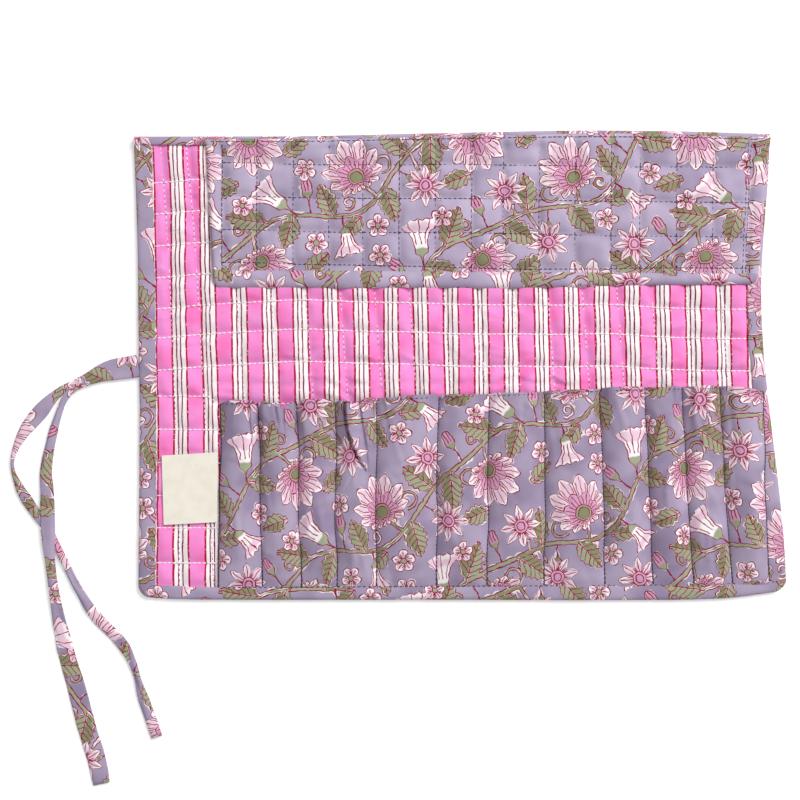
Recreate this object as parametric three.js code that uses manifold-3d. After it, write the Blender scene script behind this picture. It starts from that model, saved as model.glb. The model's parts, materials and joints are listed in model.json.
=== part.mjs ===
// A quilted brush roll lying open on a table, lining up, flap folded down over the top of the lining.
// Millimetres, +Z up, the table at z = 0, the pockets run along Y with their mouths towards +Y.
// The panel is made as strips that meet at pocket seams, so that it can roll up.
import * as THREE from 'three';
import Module from 'manifold-3d';

// Panel seen from above
const panelHeight = 250;
const marginWidth = 44.5; // left of the first pocket, border included
const pocketWidths = [21.5, 22, 20, 23, 30.5, 27.5, 30, 32, 25, 21, 21, 20];
const pocketsPerStrip = [2, 2, 1, 1, 1, 1, 1, 1, 1, 1]; // the first strip is the margin
const rightMargin = 12; // right of the last pocket, at the bottom edge
const waistInset = 13.5; // how far the right edge is drawn in below the flap
const waistHeight = 166; // of that waist, above the bottom edge
const topInset = 9; // how far the right edge is drawn in at the top corner
const cornerRadius = 7; // of the two bottom corners
const seamGap = 0.3; // between neighbouring strips

// Border, the cover's edge turned over the lining
const borderLeft = 9;
const borderRight = 8;
const borderTop = 5;
const borderBottom = 7;
const edgeRound = 0.9; // rounding of the folded edge
const borderStep = 2; // length over which the right border gives way to the pockets, above their mouths

// Layers
const coverCloth = 0.6;
const wadding = 1.7;
const liningCloth = 0.5;
const layerGap = 0.1;
const quiltCrown = 0.6; // how far a quilted square stands above its stitch lines
const liningInset = 1.6; // lining and wadding end this far inside the panel's outline

// Quilting grid on the lining
const quiltPitchX = 18;
const quiltPitchY = 16.7;

// Pockets
const pocketCloth = 0.7;
const pocketRise = 5; // height of an open pocket inside
const pocketLift = 0.2; // seams lie this far above the lining
const mouthLeft = 106.5; // height of the mouth above the bottom edge, first pocket
const mouthRight = 112; // the same, last pocket
const pocketRamp = 30; // length over which a pocket opens from its bottom seam

// Flap
const flapHeight = 76.2;
const flapLapTop = 9; // the flap's left edge lies this far left of the first pocket seam, at the top
const flapLapBottom = 3.5; // and at its lower corner
const flapRightBottom = 2.5; // the flap's lower right corner, inside the panel's waist
const flapCorner = 5;
const flapBinding = 8.6;
const flapBody = 2.4; // thickness at the stitch lines
const flapLift = 0.2; // clear of the border
const flapPitchX = 19;
const flapPitchY = 18;

// Label
const labelSize = [30, 36];
const labelCentre = [17.1, 59.5]; // left of the first pocket seam, and above the bottom edge
const labelTurn = 4; // degrees
const labelCloth = 0.5;

// Tie: one strip of cloth caught at its middle in the left border, its tails lying on the table
const tieWidth = 11;
const tieCloth = 1;
const tieHeight = 125.5; // of the fixing, above the bottom edge
const tailUnder = [ // from the fixing: left, up, height of the cloth's middle
  [0.3, 0.2, 0.6], [20, -4, 0.6], [41, -13, 0.6], [53, -25, 0.6], [62, -36.5, 0.6], [67, -48, 0.6],
  [67.5, -55, 0.6], [64, -65, 0.6], [56, -78, 0.6], [48, -89, 0.6], [40.5, -103.5, 0.6], [32.5, -119.5, 0.6],
  [23.5, -134, 0.6], [9.5, -149, 0.6], [3, -161.5, 0.6], [-2, -178, 0.6], [-10, -200.5, 0.6],
];
const tailOver = [
  [0.3, 0.2, 1.9], [20, -4, 1.9], [37, -14.5, 1.9], [43.5, -29, 1.9], [47, -42, 1.5], [49.5, -56.5, 0.8],
  [48.7, -68, 1.8], [48.2, -90, 2], [47, -106.5, 2], [45, -121, 1.9], [42, -139, 1.1], [38, -157, 0.6],
  [33, -174, 0.6], [27.5, -195, 0.6], [22.5, -211.5, 0.6], [19.5, -225.5, 0.6],
];

// Heights that follow from the layers
const waddingBase = coverCloth + layerGap;
const liningBase = waddingBase + wadding + layerGap;
const liningTop = liningBase + liningCloth;
const borderBase = liningTop + layerGap;
const borderCrest = borderBase + coverCloth;
const pocketBase = liningTop + pocketLift;
const flapBase = Math.max(borderCrest, liningTop + quiltCrown) + flapLift;
const flapTop = flapBase + flapBody;

// Plan positions that follow from the panel
const sum = (list) => list.reduce((total, value) => total + value, 0);
const panelWidth = marginWidth + sum(pocketWidths) + rightMargin;
const left = -panelWidth / 2;
const right = panelWidth / 2;
const bottom = -panelHeight / 2;
const top = panelHeight / 2;
const pocketStart = left + marginWidth;
const pocketEnd = pocketStart + sum(pocketWidths);
const seams = pocketWidths.reduce((xs, w) => [...xs, xs[xs.length - 1] + w], [pocketStart]);
const pocketRuns = pocketsPerStrip.map((count, k) => {
  const first = sum(pocketsPerStrip.slice(0, k));
  return seams.slice(first, first + count + 1);
});
const stripEdges = [left, pocketStart, ...pocketRuns.slice(0, -1).map((run) => run[run.length - 1]), right];
const stripCount = stripEdges.length - 1;
const mouthAt = (x) =>
  bottom + mouthLeft + (mouthRight - mouthLeft) * (x - pocketStart) / (pocketEnd - pocketStart);

// The right edge runs from the bottom corner in to a waist and out again to the top corner.
const waistY = bottom + waistHeight;
const smooth = (t) => t * t * (3 - 2 * t);
const clamp01 = (t) => Math.min(1, Math.max(0, t));
const rightEdge = (y) => (y < waistY
  ? right - waistInset * smooth(clamp01((y - bottom) / waistHeight))
  : right - waistInset + (waistInset - topInset) * smooth(clamp01((y - waistY) / (top - waistY))));

// How far a rounded bottom corner pulls the side in, at a height above the edge.
const cornerPull = (height, radius) => {
  const rest = Math.max(0, radius - Math.max(0, height));
  return radius - Math.sqrt(Math.max(0, radius * radius - rest * rest));
};
const leftAt = (y, inset) =>
  left + inset + cornerPull(y - bottom - inset, Math.max(0, cornerRadius - inset));
const rightAt = (y, inset) =>
  rightEdge(y) - inset - cornerPull(y - bottom - inset, Math.max(0, cornerRadius - inset));
const cornerRows = (start, radius) => [0, 0.04, 0.15, 0.4, 1].map((f) => start + f * radius);

// A closed mesh from points and triangles, turned so that its faces look outwards.
function closedGeometry(points, triangles) {
  let volume = 0;
  const [a, b, c] = [new THREE.Vector3(), new THREE.Vector3(), new THREE.Vector3()];
  for (const [i, j, k] of triangles) {
    volume += a.set(...points[i]).dot(b.set(...points[j]).cross(c.set(...points[k])));
  }
  const geometry = new THREE.BufferGeometry();
  geometry.setAttribute('position', new THREE.Float32BufferAttribute(points.flat(), 3));
  geometry.setIndex(triangles.flatMap(([i, j, k]) => (volume < 0 ? [i, k, j] : [i, j, k])));
  return geometry;
}

// The border of a grid of rows by columns, as point numbers in order.
function rimOf(rows, columns) {
  const rim = [];
  for (let j = 0; j < columns; j++) rim.push(j);
  for (let i = 1; i < rows; i++) rim.push(i * columns + columns - 1);
  for (let j = columns - 2; j >= 0; j--) rim.push((rows - 1) * columns + j);
  for (let i = rows - 2; i > 0; i--) rim.push(i * columns);
  return rim;
}

function gridTriangles(rows, columns, offset, flip) {
  const triangles = [];
  for (let i = 0; i + 1 < rows; i++) {
    for (let j = 0; j + 1 < columns; j++) {
      const p = offset + i * columns + j;
      const [q, r, s] = [p + 1, p + columns + 1, p + columns];
      triangles.push(...(flip ? [[p, r, q], [p, s, r]] : [[p, q, r], [p, r, s]]));
    }
  }
  return triangles;
}

// A cloth with an upper and a lower surface, each a grid of the same size.
function sheet(upper, lower) {
  const [rows, columns] = [upper.length, upper[0].length];
  const points = [...upper.flat(), ...lower.flat()];
  const shift = rows * columns;
  const triangles = [...gridTriangles(rows, columns, 0, false), ...gridTriangles(rows, columns, shift, true)];
  const rim = rimOf(rows, columns);
  rim.forEach((p, k) => {
    const q = rim[(k + 1) % rim.length];
    triangles.push([p, p + shift, q + shift], [p, q + shift, q]);
  });
  return closedGeometry(points, triangles);
}

// A cloth with an upper surface over a flat underside.
function flatSheet(upper, z) {
  const [rows, columns] = [upper.length, upper[0].length];
  const points = upper.flat();
  const triangles = gridTriangles(rows, columns, 0, false);
  const rim = rimOf(rows, columns);
  const start = points.length;
  const middle = start + rim.length;
  const rimPoints = rim.map((p) => [points[p][0], points[p][1], z]);
  const centre = [0, 1].map((axis) => sum(rimPoints.map((p) => p[axis])) / rim.length);
  points.push(...rimPoints, [...centre, z]);
  rim.forEach((p, k) => {
    const next = (k + 1) % rim.length;
    triangles.push([p, start + k, start + next], [p, start + next, rim[next]], [start + k, middle, start + next]);
  });
  return closedGeometry(points, triangles);
}

// Grid lines and the middles between them, strictly inside a span.
function quiltLines(from, to, origin, pitch) {
  const lines = [];
  for (let k = Math.ceil((from - origin) / (pitch / 2)); origin + k * pitch / 2 < to; k++) {
    const at = origin + k * pitch / 2;
    if (at > from + pitch / 8 && at < to - pitch / 8) lines.push(at);
  }
  return lines;
}
const puff = (offset, pitch) => Math.sqrt(Math.abs(Math.sin(Math.PI * offset / pitch)));

// The panel's outline with an inset for each side, as points in order.
const sidePoints = 11;
const cornerPoints = 6;
const stepLow = bottom + mouthRight + borderStep / 2;
const edgeRows = (from) => {
  const even = Array.from({ length: sidePoints }, (_, k) => from + (top - from) * k / sidePoints);
  return [...even, stepLow, stepLow + borderStep].filter((y) => y >= from).sort((p, q) => p - q);
};
function outline({ leftIn, rightIn, bottomIn, topIn, besidePockets = false }) {
  const radius = Math.max(0.5, cornerRadius - Math.min(leftIn, bottomIn));
  const low = bottom + bottomIn;
  const high = top - topIn;
  const sideX = (y) => {
    const x = rightEdge(y) - rightIn;
    return besidePockets && y <= stepLow ? Math.max(x, pocketEnd + seamGap) : x;
  };
  const arc = (cx, cy, from) => Array.from({ length: cornerPoints }, (_, k) => {
    const angle = from + (Math.PI / 2) * k / (cornerPoints - 1);
    return [cx + radius * Math.cos(angle), cy + radius * Math.sin(angle)];
  });
  const side = edgeRows(bottom + cornerRadius + borderBottom).map((y) => [sideX(y), y]);
  return [
    ...arc(left + leftIn + radius, low + radius, Math.PI),
    ...arc(sideX(low + radius) - radius, low + radius, -Math.PI / 2),
    ...side,
    [sideX(high), high],
    [left + leftIn, high],
  ];
}
const even = (inset) => outline({ leftIn: inset, rightIn: inset, bottomIn: inset, topIn: inset });

// A body through rings that lie one above the other.
function tower(levels) {
  const count = levels[0].ring.length;
  const points = levels.flatMap(({ ring, z }) => ring.map(([x, y]) => [x, y, z]));
  const triangles = [];
  for (let i = 0; i + 1 < levels.length; i++) {
    for (let k = 0; k < count; k++) {
      const [p, q] = [i * count + k, i * count + (k + 1) % count];
      triangles.push([p, q, q + count], [p, q + count, p + count]);
    }
  }
  const addCap = ({ ring }, offset, flip) => {
    const flat = ring.map(([x, y]) => new THREE.Vector2(x, y));
    for (const [i, j, k] of THREE.ShapeUtils.triangulateShape(flat, [])) {
      triangles.push(flip ? [offset + i, offset + k, offset + j] : [offset + i, offset + j, offset + k]);
    }
  };
  addCap(levels[0], 0, true);
  addCap(levels[levels.length - 1], (levels.length - 1) * count, false);
  return closedGeometry(points, triangles);
}

const wasm = await Module();
wasm.setup();
const { Manifold } = wasm;

function toSolid(geometry) {
  return Manifold.ofMesh(new wasm.Mesh({
    numProp: 3,
    vertProperties: new Float32Array(geometry.attributes.position.array),
    triVerts: new Uint32Array(geometry.index.array),
  }));
}

function toGeometry(solid) {
  const mesh = solid.getMesh();
  const geometry = new THREE.BufferGeometry();
  geometry.setAttribute('position', new THREE.Float32BufferAttribute(mesh.vertProperties, 3));
  geometry.setIndex(Array.from(mesh.triVerts));
  return geometry;
}

const spanOf = (i) => [
  stripEdges[i] + (i > 0 ? seamGap / 2 : 0),
  stripEdges[i + 1] - (i + 1 < stripCount ? seamGap / 2 : 0),
];

// The cover under the whole panel with its edge turned over the lining, cut into strips.
function coverStrips() {
  const folded = tower([
    { ring: even(edgeRound), z: 0 },
    { ring: even(edgeRound / 3), z: edgeRound / 3 },
    { ring: even(0), z: edgeRound },
    { ring: even(0), z: borderCrest - edgeRound },
    { ring: even(edgeRound / 3), z: borderCrest - edgeRound / 3 },
    { ring: even(edgeRound), z: borderCrest },
  ]);
  const inside = tower([coverCloth, borderBase].map((z) => ({ ring: even(coverCloth), z })));
  const open = outline({
    leftIn: borderLeft, rightIn: borderRight, bottomIn: borderBottom, topIn: borderTop, besidePockets: true,
  });
  const window = tower([borderBase - layerGap, borderCrest + 1].map((z) => ({ ring: open, z })));
  const cover = toSolid(folded).subtract(toSolid(inside)).subtract(toSolid(window));
  return Array.from({ length: stripCount }, (_, i) => {
    const [from, to] = spanOf(i);
    const block = Manifold.cube([to - from, panelHeight, borderCrest + 1]).translate([from, bottom, 0]);
    return toGeometry(cover.intersect(block));
  });
}

function waddingStrip(i) {
  const [from, to] = spanOf(i);
  const low = bottom + liningInset;
  const rows = [
    ...cornerRows(low, cornerRadius - liningInset), bottom + waistHeight * 0.35, bottom + waistHeight * 0.7,
    waistY, (waistY + top) / 2, top - liningInset,
  ];
  const upper = rows.map((y) => [
    [i === 0 ? leftAt(y, liningInset) : from, y, waddingBase + wadding],
    [i + 1 === stripCount ? rightAt(y, liningInset) : to, y, waddingBase + wadding],
  ]);
  return flatSheet(upper, waddingBase);
}

// Lining: puffed squares between the borders and above the pockets, flat everywhere else.
function liningStrip(i) {
  const [from, to] = spanOf(i);
  const low = bottom + liningInset;
  const puffedLow = bottom + Math.max(mouthLeft, mouthRight) + 1;
  const puffedHigh = top - borderTop - seamGap;
  const columns = quiltLines(from, to, pocketStart, quiltPitchX)
    .filter((x) => x > left + borderLeft + 1 && x < right - waistInset - borderRight - 1)
    .map((x) => ({ at: () => x, puffed: true }));
  if (i === 0) {
    const hidden = { at: (y) => leftAt(y, liningInset), puffed: false };
    columns.unshift(hidden, { at: () => left + borderLeft + seamGap, puffed: false });
  } else {
    columns.unshift({ at: () => from, puffed: true });
  }
  if (i + 1 === stripCount) {
    const hidden = { at: (y) => rightAt(y, liningInset), puffed: false };
    columns.push({ at: (y) => rightEdge(y) - borderRight - seamGap, puffed: false }, hidden);
  } else {
    columns.push({ at: () => to, puffed: true });
  }
  const rows = [
    ...cornerRows(low, cornerRadius - liningInset), bottom + waistHeight * 0.35, puffedLow,
    ...quiltLines(puffedLow, puffedHigh, top, quiltPitchY), puffedHigh, top - liningInset,
  ];
  const upper = rows.map((y) => columns.map(({ at, puffed }) => {
    const raised = puffed && y > puffedLow && y < puffedHigh;
    const crown = raised ? puff(at(y) - pocketStart, quiltPitchX) * puff(y - top, quiltPitchY) : 0;
    return [at(y), y, liningTop + quiltCrown * crown];
  }));
  return flatSheet(upper, liningBase);
}

// Pockets of one strip: the cloth arches from seam to seam and lies flat along the bottom.
function pocketStrip(run) {
  const low = bottom + borderBottom + seamGap;
  const steps = 8; // across one pocket
  const across = [];
  run.slice(0, -1).forEach((from, k) => {
    const to = run[k + 1];
    for (let s = k === 0 ? 0 : 1; s <= steps; s++) {
      across.push({ x: from + (to - from) * s / steps, arch: Math.sin(Math.PI * s / steps) ** 0.8 });
    }
  });
  across[0].x += seamGap / 2;
  across[across.length - 1].x -= seamGap / 2;
  const along = [0, 0.2, 0.4, 0.6, 0.8, 1].map((f) => ({ open: smooth(f), y: () => low + pocketRamp * f }));
  along.push({ open: 1, y: (x) => (low + pocketRamp + mouthAt(x)) / 2 }, { open: 1, y: mouthAt });
  const surface = (lift) => along.map(({ open, y }) => across.map(({ x, arch }) => [
    x, y(x), pocketBase + lift + pocketRise * Math.max(0, arch) * open,
  ]));
  return sheet(surface(pocketCloth), surface(0));
}

// Flap of one strip. The first is the flap's left binding, which lies on the margin.
const flapHigh = top - borderTop - seamGap / 2;
const flapLow = flapHigh - flapHeight;
function flapStrip(i) {
  const [from, to] = spanOf(i);
  const share = (y) => (flapHigh - y) / flapHeight;
  const pull = (y) => cornerPull(y - flapLow, flapCorner);
  const leftSide = (y) => pocketStart - flapLapTop + (flapLapTop - flapLapBottom) * share(y) + pull(y);
  const rightLow = right - waistInset - flapRightBottom;
  const rightSide = (y) => rightEdge(top) + (rightLow - rightEdge(top)) * share(y) - pull(y);
  const columns = quiltLines(from, to, pocketStart, flapPitchX)
    .filter((x) => i > 0 && x < rightLow - flapBinding)
    .map((x) => ({ at: () => x }));
  columns.unshift(i === 0 ? { at: leftSide, edge: true } : { at: () => from });
  columns.push({ at: () => to });
  if (i === 0) columns.splice(1, 0, { at: (y) => Math.min(leftSide(y) + 1.5, to - 0.4) });
  if (i + 1 === stripCount) {
    columns.pop();
    columns.push({ at: (y) => rightSide(y) - flapBinding, stitched: true });
    columns.push({ at: (y) => rightSide(y) - 1.5 }, { at: rightSide, edge: true });
  }
  const rows = [
    ...cornerRows(flapLow, flapCorner), flapLow + flapBinding,
    ...quiltLines(flapLow + flapBinding, flapHigh, flapHigh, flapPitchY), flapHigh,
  ];
  const upper = rows.map((y, row) => columns.map(({ at, edge, stitched }) => {
    const x = at(y);
    const quilted = i > 0 && !stitched && y > flapLow + flapBinding;
    const crown = quilted ? puff(x - pocketStart, flapPitchX) * puff(flapHigh - y, flapPitchY) : 0.4;
    return [x, y, flapTop + (edge || row === 0 ? -edgeRound : quiltCrown * crown)];
  }));
  return flatSheet(upper, flapBase);
}

function label() {
  const turn = THREE.MathUtils.degToRad(labelTurn);
  const middle = [pocketStart - labelCentre[0], bottom + labelCentre[1]];
  const base = liningTop + pocketLift;
  const grid = (z) => [-0.5, 0.5].map((v) => [-0.5, 0.5].map((u) => {
    const [x, y] = [u * labelSize[0], v * labelSize[1]];
    return [
      middle[0] + x * Math.cos(turn) - y * Math.sin(turn),
      middle[1] + x * Math.sin(turn) + y * Math.cos(turn),
      z,
    ];
  }));
  return sheet(grid(base + labelCloth), grid(base));
}

// A tail of the tie: flat cloth along a smooth path on the table.
function tail(path) {
  const points = path.map(([out, up, z]) => new THREE.Vector3(left - out, bottom + tieHeight + up, z));
  const curve = new THREE.CatmullRomCurve3(points, false, 'centripetal');
  const stations = 4 * (path.length - 1);
  const frames = Array.from({ length: stations + 1 }, (_, k) => {
    const middle = curve.getPoint(k / stations);
    const along = curve.getTangent(k / stations).setZ(0).normalize();
    return { middle, sideways: new THREE.Vector3(-along.y, along.x, 0).multiplyScalar(tieWidth / 2) };
  });
  frames[0].sideways.set(0, -tieWidth / 2, 0);
  const surface = (lift) => frames.map(({ middle, sideways }) => [-1, 0, 1].map((s) => {
    const p = middle.clone().addScaledVector(sideways, s);
    return [p.x, p.y, p.z + lift * (s === 0 ? 1 : 0.6)];
  }));
  return sheet(surface(tieCloth / 2), surface(-tieCloth / 2));
}

const materials = {
  print: new THREE.MeshStandardMaterial({ color: 0xb09fbb, roughness: 0.9, metalness: 0 }),
  stripe: new THREE.MeshStandardMaterial({ color: 0xf19fcb, roughness: 0.9, metalness: 0 }),
  wadding: new THREE.MeshStandardMaterial({ color: 0xf4f1ea, roughness: 1, metalness: 0 }),
  cotton: new THREE.MeshStandardMaterial({ color: 0xefe9dc, roughness: 0.9, metalness: 0 }),
};

const roll = new THREE.Group();
roll.name = 'makeup_roll';
function add(name, geometry, material) {
  geometry.computeVertexNormals();
  const mesh = new THREE.Mesh(geometry, material);
  mesh.name = name;
  roll.add(mesh);
}
const numbered = (name, i) => `${name}_${String(i).padStart(2, '0')}`;

coverStrips().forEach((geometry, i) => {
  add(numbered('cover', i), geometry, materials.print);
  add(numbered('wadding', i), waddingStrip(i), materials.wadding);
  add(numbered('lining', i), liningStrip(i), materials.stripe);
  add(numbered('flap', i), flapStrip(i), materials.print);
});
pocketRuns.forEach((run, k) => add(numbered('pocket', k + 1), pocketStrip(run), materials.print));
add('label', label(), materials.cotton);
add('tie_under', tail(tailUnder), materials.print);
add('tie_over', tail(tailOver), materials.print);

export default roll;
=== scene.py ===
# %% [markdown]
# # A quilted makeup roll, lying open
# The roll is a padded cotton panel. Its striped lining faces up, a row of brush pockets is sewn along
# the bottom, a quilted flap folds down from the top edge and a tie with two tails lies at the left.
# Cloth can be dropped in a simulation or pushed into shape by hand. Here every stitch line has its own
# place, so each cloth is a formula for its height over a flat pattern, and comes out the same each run.

# %% Load the frame
import json
import math
from collections import namedtuple

import bpy
import numpy as np
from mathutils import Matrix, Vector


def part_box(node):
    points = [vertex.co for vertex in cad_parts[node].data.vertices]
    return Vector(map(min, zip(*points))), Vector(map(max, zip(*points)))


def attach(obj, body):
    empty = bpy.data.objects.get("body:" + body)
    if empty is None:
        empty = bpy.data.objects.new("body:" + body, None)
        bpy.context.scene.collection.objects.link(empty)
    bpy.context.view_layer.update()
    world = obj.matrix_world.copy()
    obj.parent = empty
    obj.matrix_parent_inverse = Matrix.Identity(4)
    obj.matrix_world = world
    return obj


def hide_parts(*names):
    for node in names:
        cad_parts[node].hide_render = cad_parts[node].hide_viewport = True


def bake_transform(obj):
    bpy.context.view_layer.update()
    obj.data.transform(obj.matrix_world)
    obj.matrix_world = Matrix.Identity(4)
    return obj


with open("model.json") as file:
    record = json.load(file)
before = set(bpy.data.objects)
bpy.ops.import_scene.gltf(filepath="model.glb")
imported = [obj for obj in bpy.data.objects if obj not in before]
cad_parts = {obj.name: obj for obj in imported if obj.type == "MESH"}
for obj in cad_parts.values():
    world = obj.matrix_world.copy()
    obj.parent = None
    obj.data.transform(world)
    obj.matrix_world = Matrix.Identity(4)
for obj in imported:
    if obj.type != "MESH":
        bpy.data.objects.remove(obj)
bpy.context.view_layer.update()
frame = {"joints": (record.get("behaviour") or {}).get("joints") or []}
MM = 0.001

# %% [markdown]
# ## The camera
# A flat thing like this is shown straight from above, so the picture is a plan. A camera without any
# perspective would do. A long lens is used instead, because the pockets then keep a trace of their depth.
# Its height follows from how many millimetres the picture has to take in.

# %% Camera
VIEW_CENTRE = (-33.4, -17.8)
VIEW_SIDE = 430.8
LENS, SENSOR = 70, 36
CLOTH_LEVEL = 3

camera_data = bpy.data.cameras.new("camera")
camera_data.lens = LENS
camera_data.sensor_width = SENSOR
camera = bpy.data.objects.new("camera", camera_data)
camera_height = VIEW_SIDE * LENS / SENSOR + CLOTH_LEVEL
camera.location = (VIEW_CENTRE[0] * MM, VIEW_CENTRE[1] * MM, camera_height * MM)
bpy.context.scene.collection.objects.link(camera)
bpy.context.scene.camera = camera
print("camera", round(camera_height), "mm above the table")

# %% [markdown]
# ## Measures from the frame
# The real panel bends anywhere. In the frame it is a row of stiff strips with hinges at pocket seams, so
# the outline and the hinges are read from there and not typed again. Every cloth below is cut halfway
# between two hinges.

# %% Panel outline and hinges
LEFT, BOTTOM = (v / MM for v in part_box("cover_00")[0][:2])
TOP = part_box("cover_00")[1].y / MM
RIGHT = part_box("cover_10")[1].x / MM
HINGES = sorted(j["pos_m"][0] / MM for j in frame["joints"] if j["name"].startswith("roll_"))
STRIPS = len(HINGES) + 1
POCKET_WIDTHS = [21.5, 22, 20, 23, 30.5, 27.5, 30, 32, 25, 21, 21, 20]
SEAMS = HINGES[0] + np.concatenate([[0], np.cumsum(POCKET_WIDTHS)])
CUTS = [SEAMS[1], SEAMS[3]] + [(a + b) / 2 for a, b in zip(HINGES[2:], HINGES[3:])]
print("hinges", np.round(HINGES, 1), "cuts", np.round(CUTS, 1))

# %% [markdown]
# ## How the sewn cloth lies
# Sewing and washing draw cotton in a little: the left edge leans, the top edge arches up and the lower
# right corner lifts. Each piece could have these bends in its own outline. It is simpler to draw all
# pieces square and to move every point at the end, because then neighbours stay together.

# %% Bends of the whole panel
# Places on an edge, how far it moves there, and the reach over which this line is rounded
LEFT_SHIFT = ([-125, -60, -18, 13, 62, 100, 121], [0.4, 1.0, 1.2, 0.6, 0.2, -1.0, -2.1], 14)
TOP_SHIFT = ([-177, -80, -20, 62, 120, 166], [-0.8, -0.6, 0.9, 2.6, 2.1, 0.5], 18)
FOOT_SHIFT = (
    [-175, -163, -150, -110, 0, 60, 120, 145, 161, 175],
    [1.0, 0.1, -0.4, -0.6, -0.5, -0.8, -0.6, 0.3, 2.5, 4.6],
    9,
)
# A zone is where something starts to fade in, and the length it takes
PANEL_ZONE, INNER_ZONE, TOP_ZONE, FOOT_ZONE = (LEFT - 12, 8), (-160, 35), (112, 13), (112, 10)


def smooth(t):
    t = np.clip(t, 0, 1)
    return t * t * (3 - 2 * t)


def fade(value, start, length):
    """0 up to `start`, 1 from `start + length` on, smooth between."""
    return smooth((value - start) / length)


def eased(x, places, values, reach):
    """Values between places, with the corners of the line rounded over `reach`."""
    return np.mean([np.interp(x + d, places, values) for d in np.linspace(-reach, reach, 9)], axis=0)


def settled(points):
    """Moves points of the square pattern to where the sewn cloth lies."""
    moved = np.array(points, float)
    x, y = moved[..., 0].copy(), moved[..., 1].copy()
    on_panel = fade(x, *PANEL_ZONE)
    at_left = on_panel * (1 - fade(x, *INNER_ZONE))
    moved[..., 0] += eased(y, *LEFT_SHIFT) * at_left
    moved[..., 1] += eased(x, *TOP_SHIFT) * on_panel * fade(y, *TOP_ZONE)
    moved[..., 1] += eased(x, *FOOT_SHIFT) * on_panel * fade(-y, *FOOT_ZONE)
    return moved


print("lower right corner lifts", FOOT_SHIFT[1][-1], "mm")

# %% [markdown]
# ## From points to a mesh
# Blender's own operators build a mesh step by step. Here all points and faces are known from formulas, so
# they are handed over in one go. The UV map holds places on the flat cloth in metres, and the prints are
# drawn in those. Normals can be given too, where a cloth is cut into pieces and the cuts mustn't show.

# %% A mesh object
def new_object(name, points, faces, uv=None, kinds=None, normals=None):
    """A mesh from millimetres. `uv` is per point, `kinds` is a material number per face."""
    mesh = bpy.data.meshes.new(name)
    mesh.from_pydata((settled(points) * MM).tolist(), [], [list(map(int, f)) for f in faces])
    mesh.polygons.foreach_set("use_smooth", np.ones(len(mesh.polygons), bool))
    if kinds is not None:
        mesh.polygons.foreach_set("material_index", np.asarray(kinds, np.int32))
    if uv is not None:
        corner = np.empty(len(mesh.loops), np.int32)
        mesh.loops.foreach_get("vertex_index", corner)
        layer = mesh.uv_layers.new(name="cloth")
        layer.data.foreach_set("uv", (np.asarray(uv, float)[corner] * MM).astype(np.float32).ravel())
    mesh.update()
    if normals is not None:
        mesh.normals_split_custom_set_from_vertices(np.asarray(normals, float).tolist())
    obj = bpy.data.objects.new(name, mesh)
    bpy.context.scene.collection.objects.link(obj)
    return obj


def tell(name, objects):
    print(name, len(objects), "with", sum(len(obj.data.polygons) for obj in objects), "faces")


# %% [markdown]
# ## The tie
# One narrow strip of the printed cotton, folded in four and sewn, is caught at its middle in the left
# border. Its two tails lie on the table, turned on edge here and there, which makes them look narrow. A
# curve with a bevel would give a round cord. A mesh of rings along the route can be flat, have a soft
# ridge where the strip is folded and change its width. The route repeats the points of the solids.

# %% Tie routes
TIE_WIDTH, TIE_CLOTH = 11, 1.1
TIE_FIXING = (LEFT, BOTTOM + 125.5)
TAIL_UNDER = [
    (0.3, 0.2, 0.6), (20, -4, 0.6), (41, -13, 0.6), (53, -25, 0.6), (62, -36.5, 0.6), (67, -48, 0.6),
    (67.5, -55, 0.6), (64, -65, 0.6), (56, -78, 0.6), (48, -89, 0.6), (40.5, -103.5, 0.6),
    (32.5, -119.5, 0.6), (23.5, -134, 0.6), (9.5, -149, 0.6), (3, -161.5, 0.6), (-2, -178, 0.6),
    (-10, -200.5, 0.6),
]
TAIL_OVER = [
    (0.3, 0.2, 1.9), (20, -4, 1.9), (37, -14.5, 1.9), (43.5, -29, 1.9), (47, -42, 1.5),
    (49.5, -56.5, 0.8), (48.7, -68, 1.8), (48.2, -90, 2), (47, -106.5, 2), (45, -121, 1.9),
    (42, -139, 1.1), (38, -157, 0.6), (33, -174, 0.6), (27.5, -195, 0.6), (22.5, -211.5, 0.6),
    (19.5, -225.5, 0.6),
]


def smooth_route(points, per_span):
    """A centripetal curve through points, as the solids have."""
    p = np.array(points, float)
    p = np.vstack([2 * p[0] - p[1], p, 2 * p[-1] - p[-2]])
    knots = np.concatenate([[0], np.cumsum(np.linalg.norm(np.diff(p, axis=0), axis=1) ** 0.5)])
    route = []
    for k in range(1, len(p) - 2):
        t0, t1, t2, t3 = knots[k - 1:k + 3]
        for t in np.linspace(t1, t2, per_span, endpoint=False):
            a1 = ((t1 - t) * p[k - 1] + (t - t0) * p[k]) / (t1 - t0)
            a2 = ((t2 - t) * p[k] + (t - t1) * p[k + 1]) / (t2 - t1)
            a3 = ((t3 - t) * p[k + 1] + (t - t2) * p[k + 2]) / (t3 - t2)
            b1 = ((t2 - t) * a1 + (t - t0) * a2) / (t2 - t0)
            b2 = ((t3 - t) * a2 + (t - t1) * a3) / (t3 - t1)
            route.append(((t2 - t) * b1 + (t - t1) * b2) / (t2 - t1))
    return np.array(route + [p[-2]])


print("tie fixed at", np.round(TIE_FIXING, 1))

# %% Soft swells, and distances along a line
Swell = namedtuple("Swell", "height size seed")
SWELL_CELLS = 61


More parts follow.
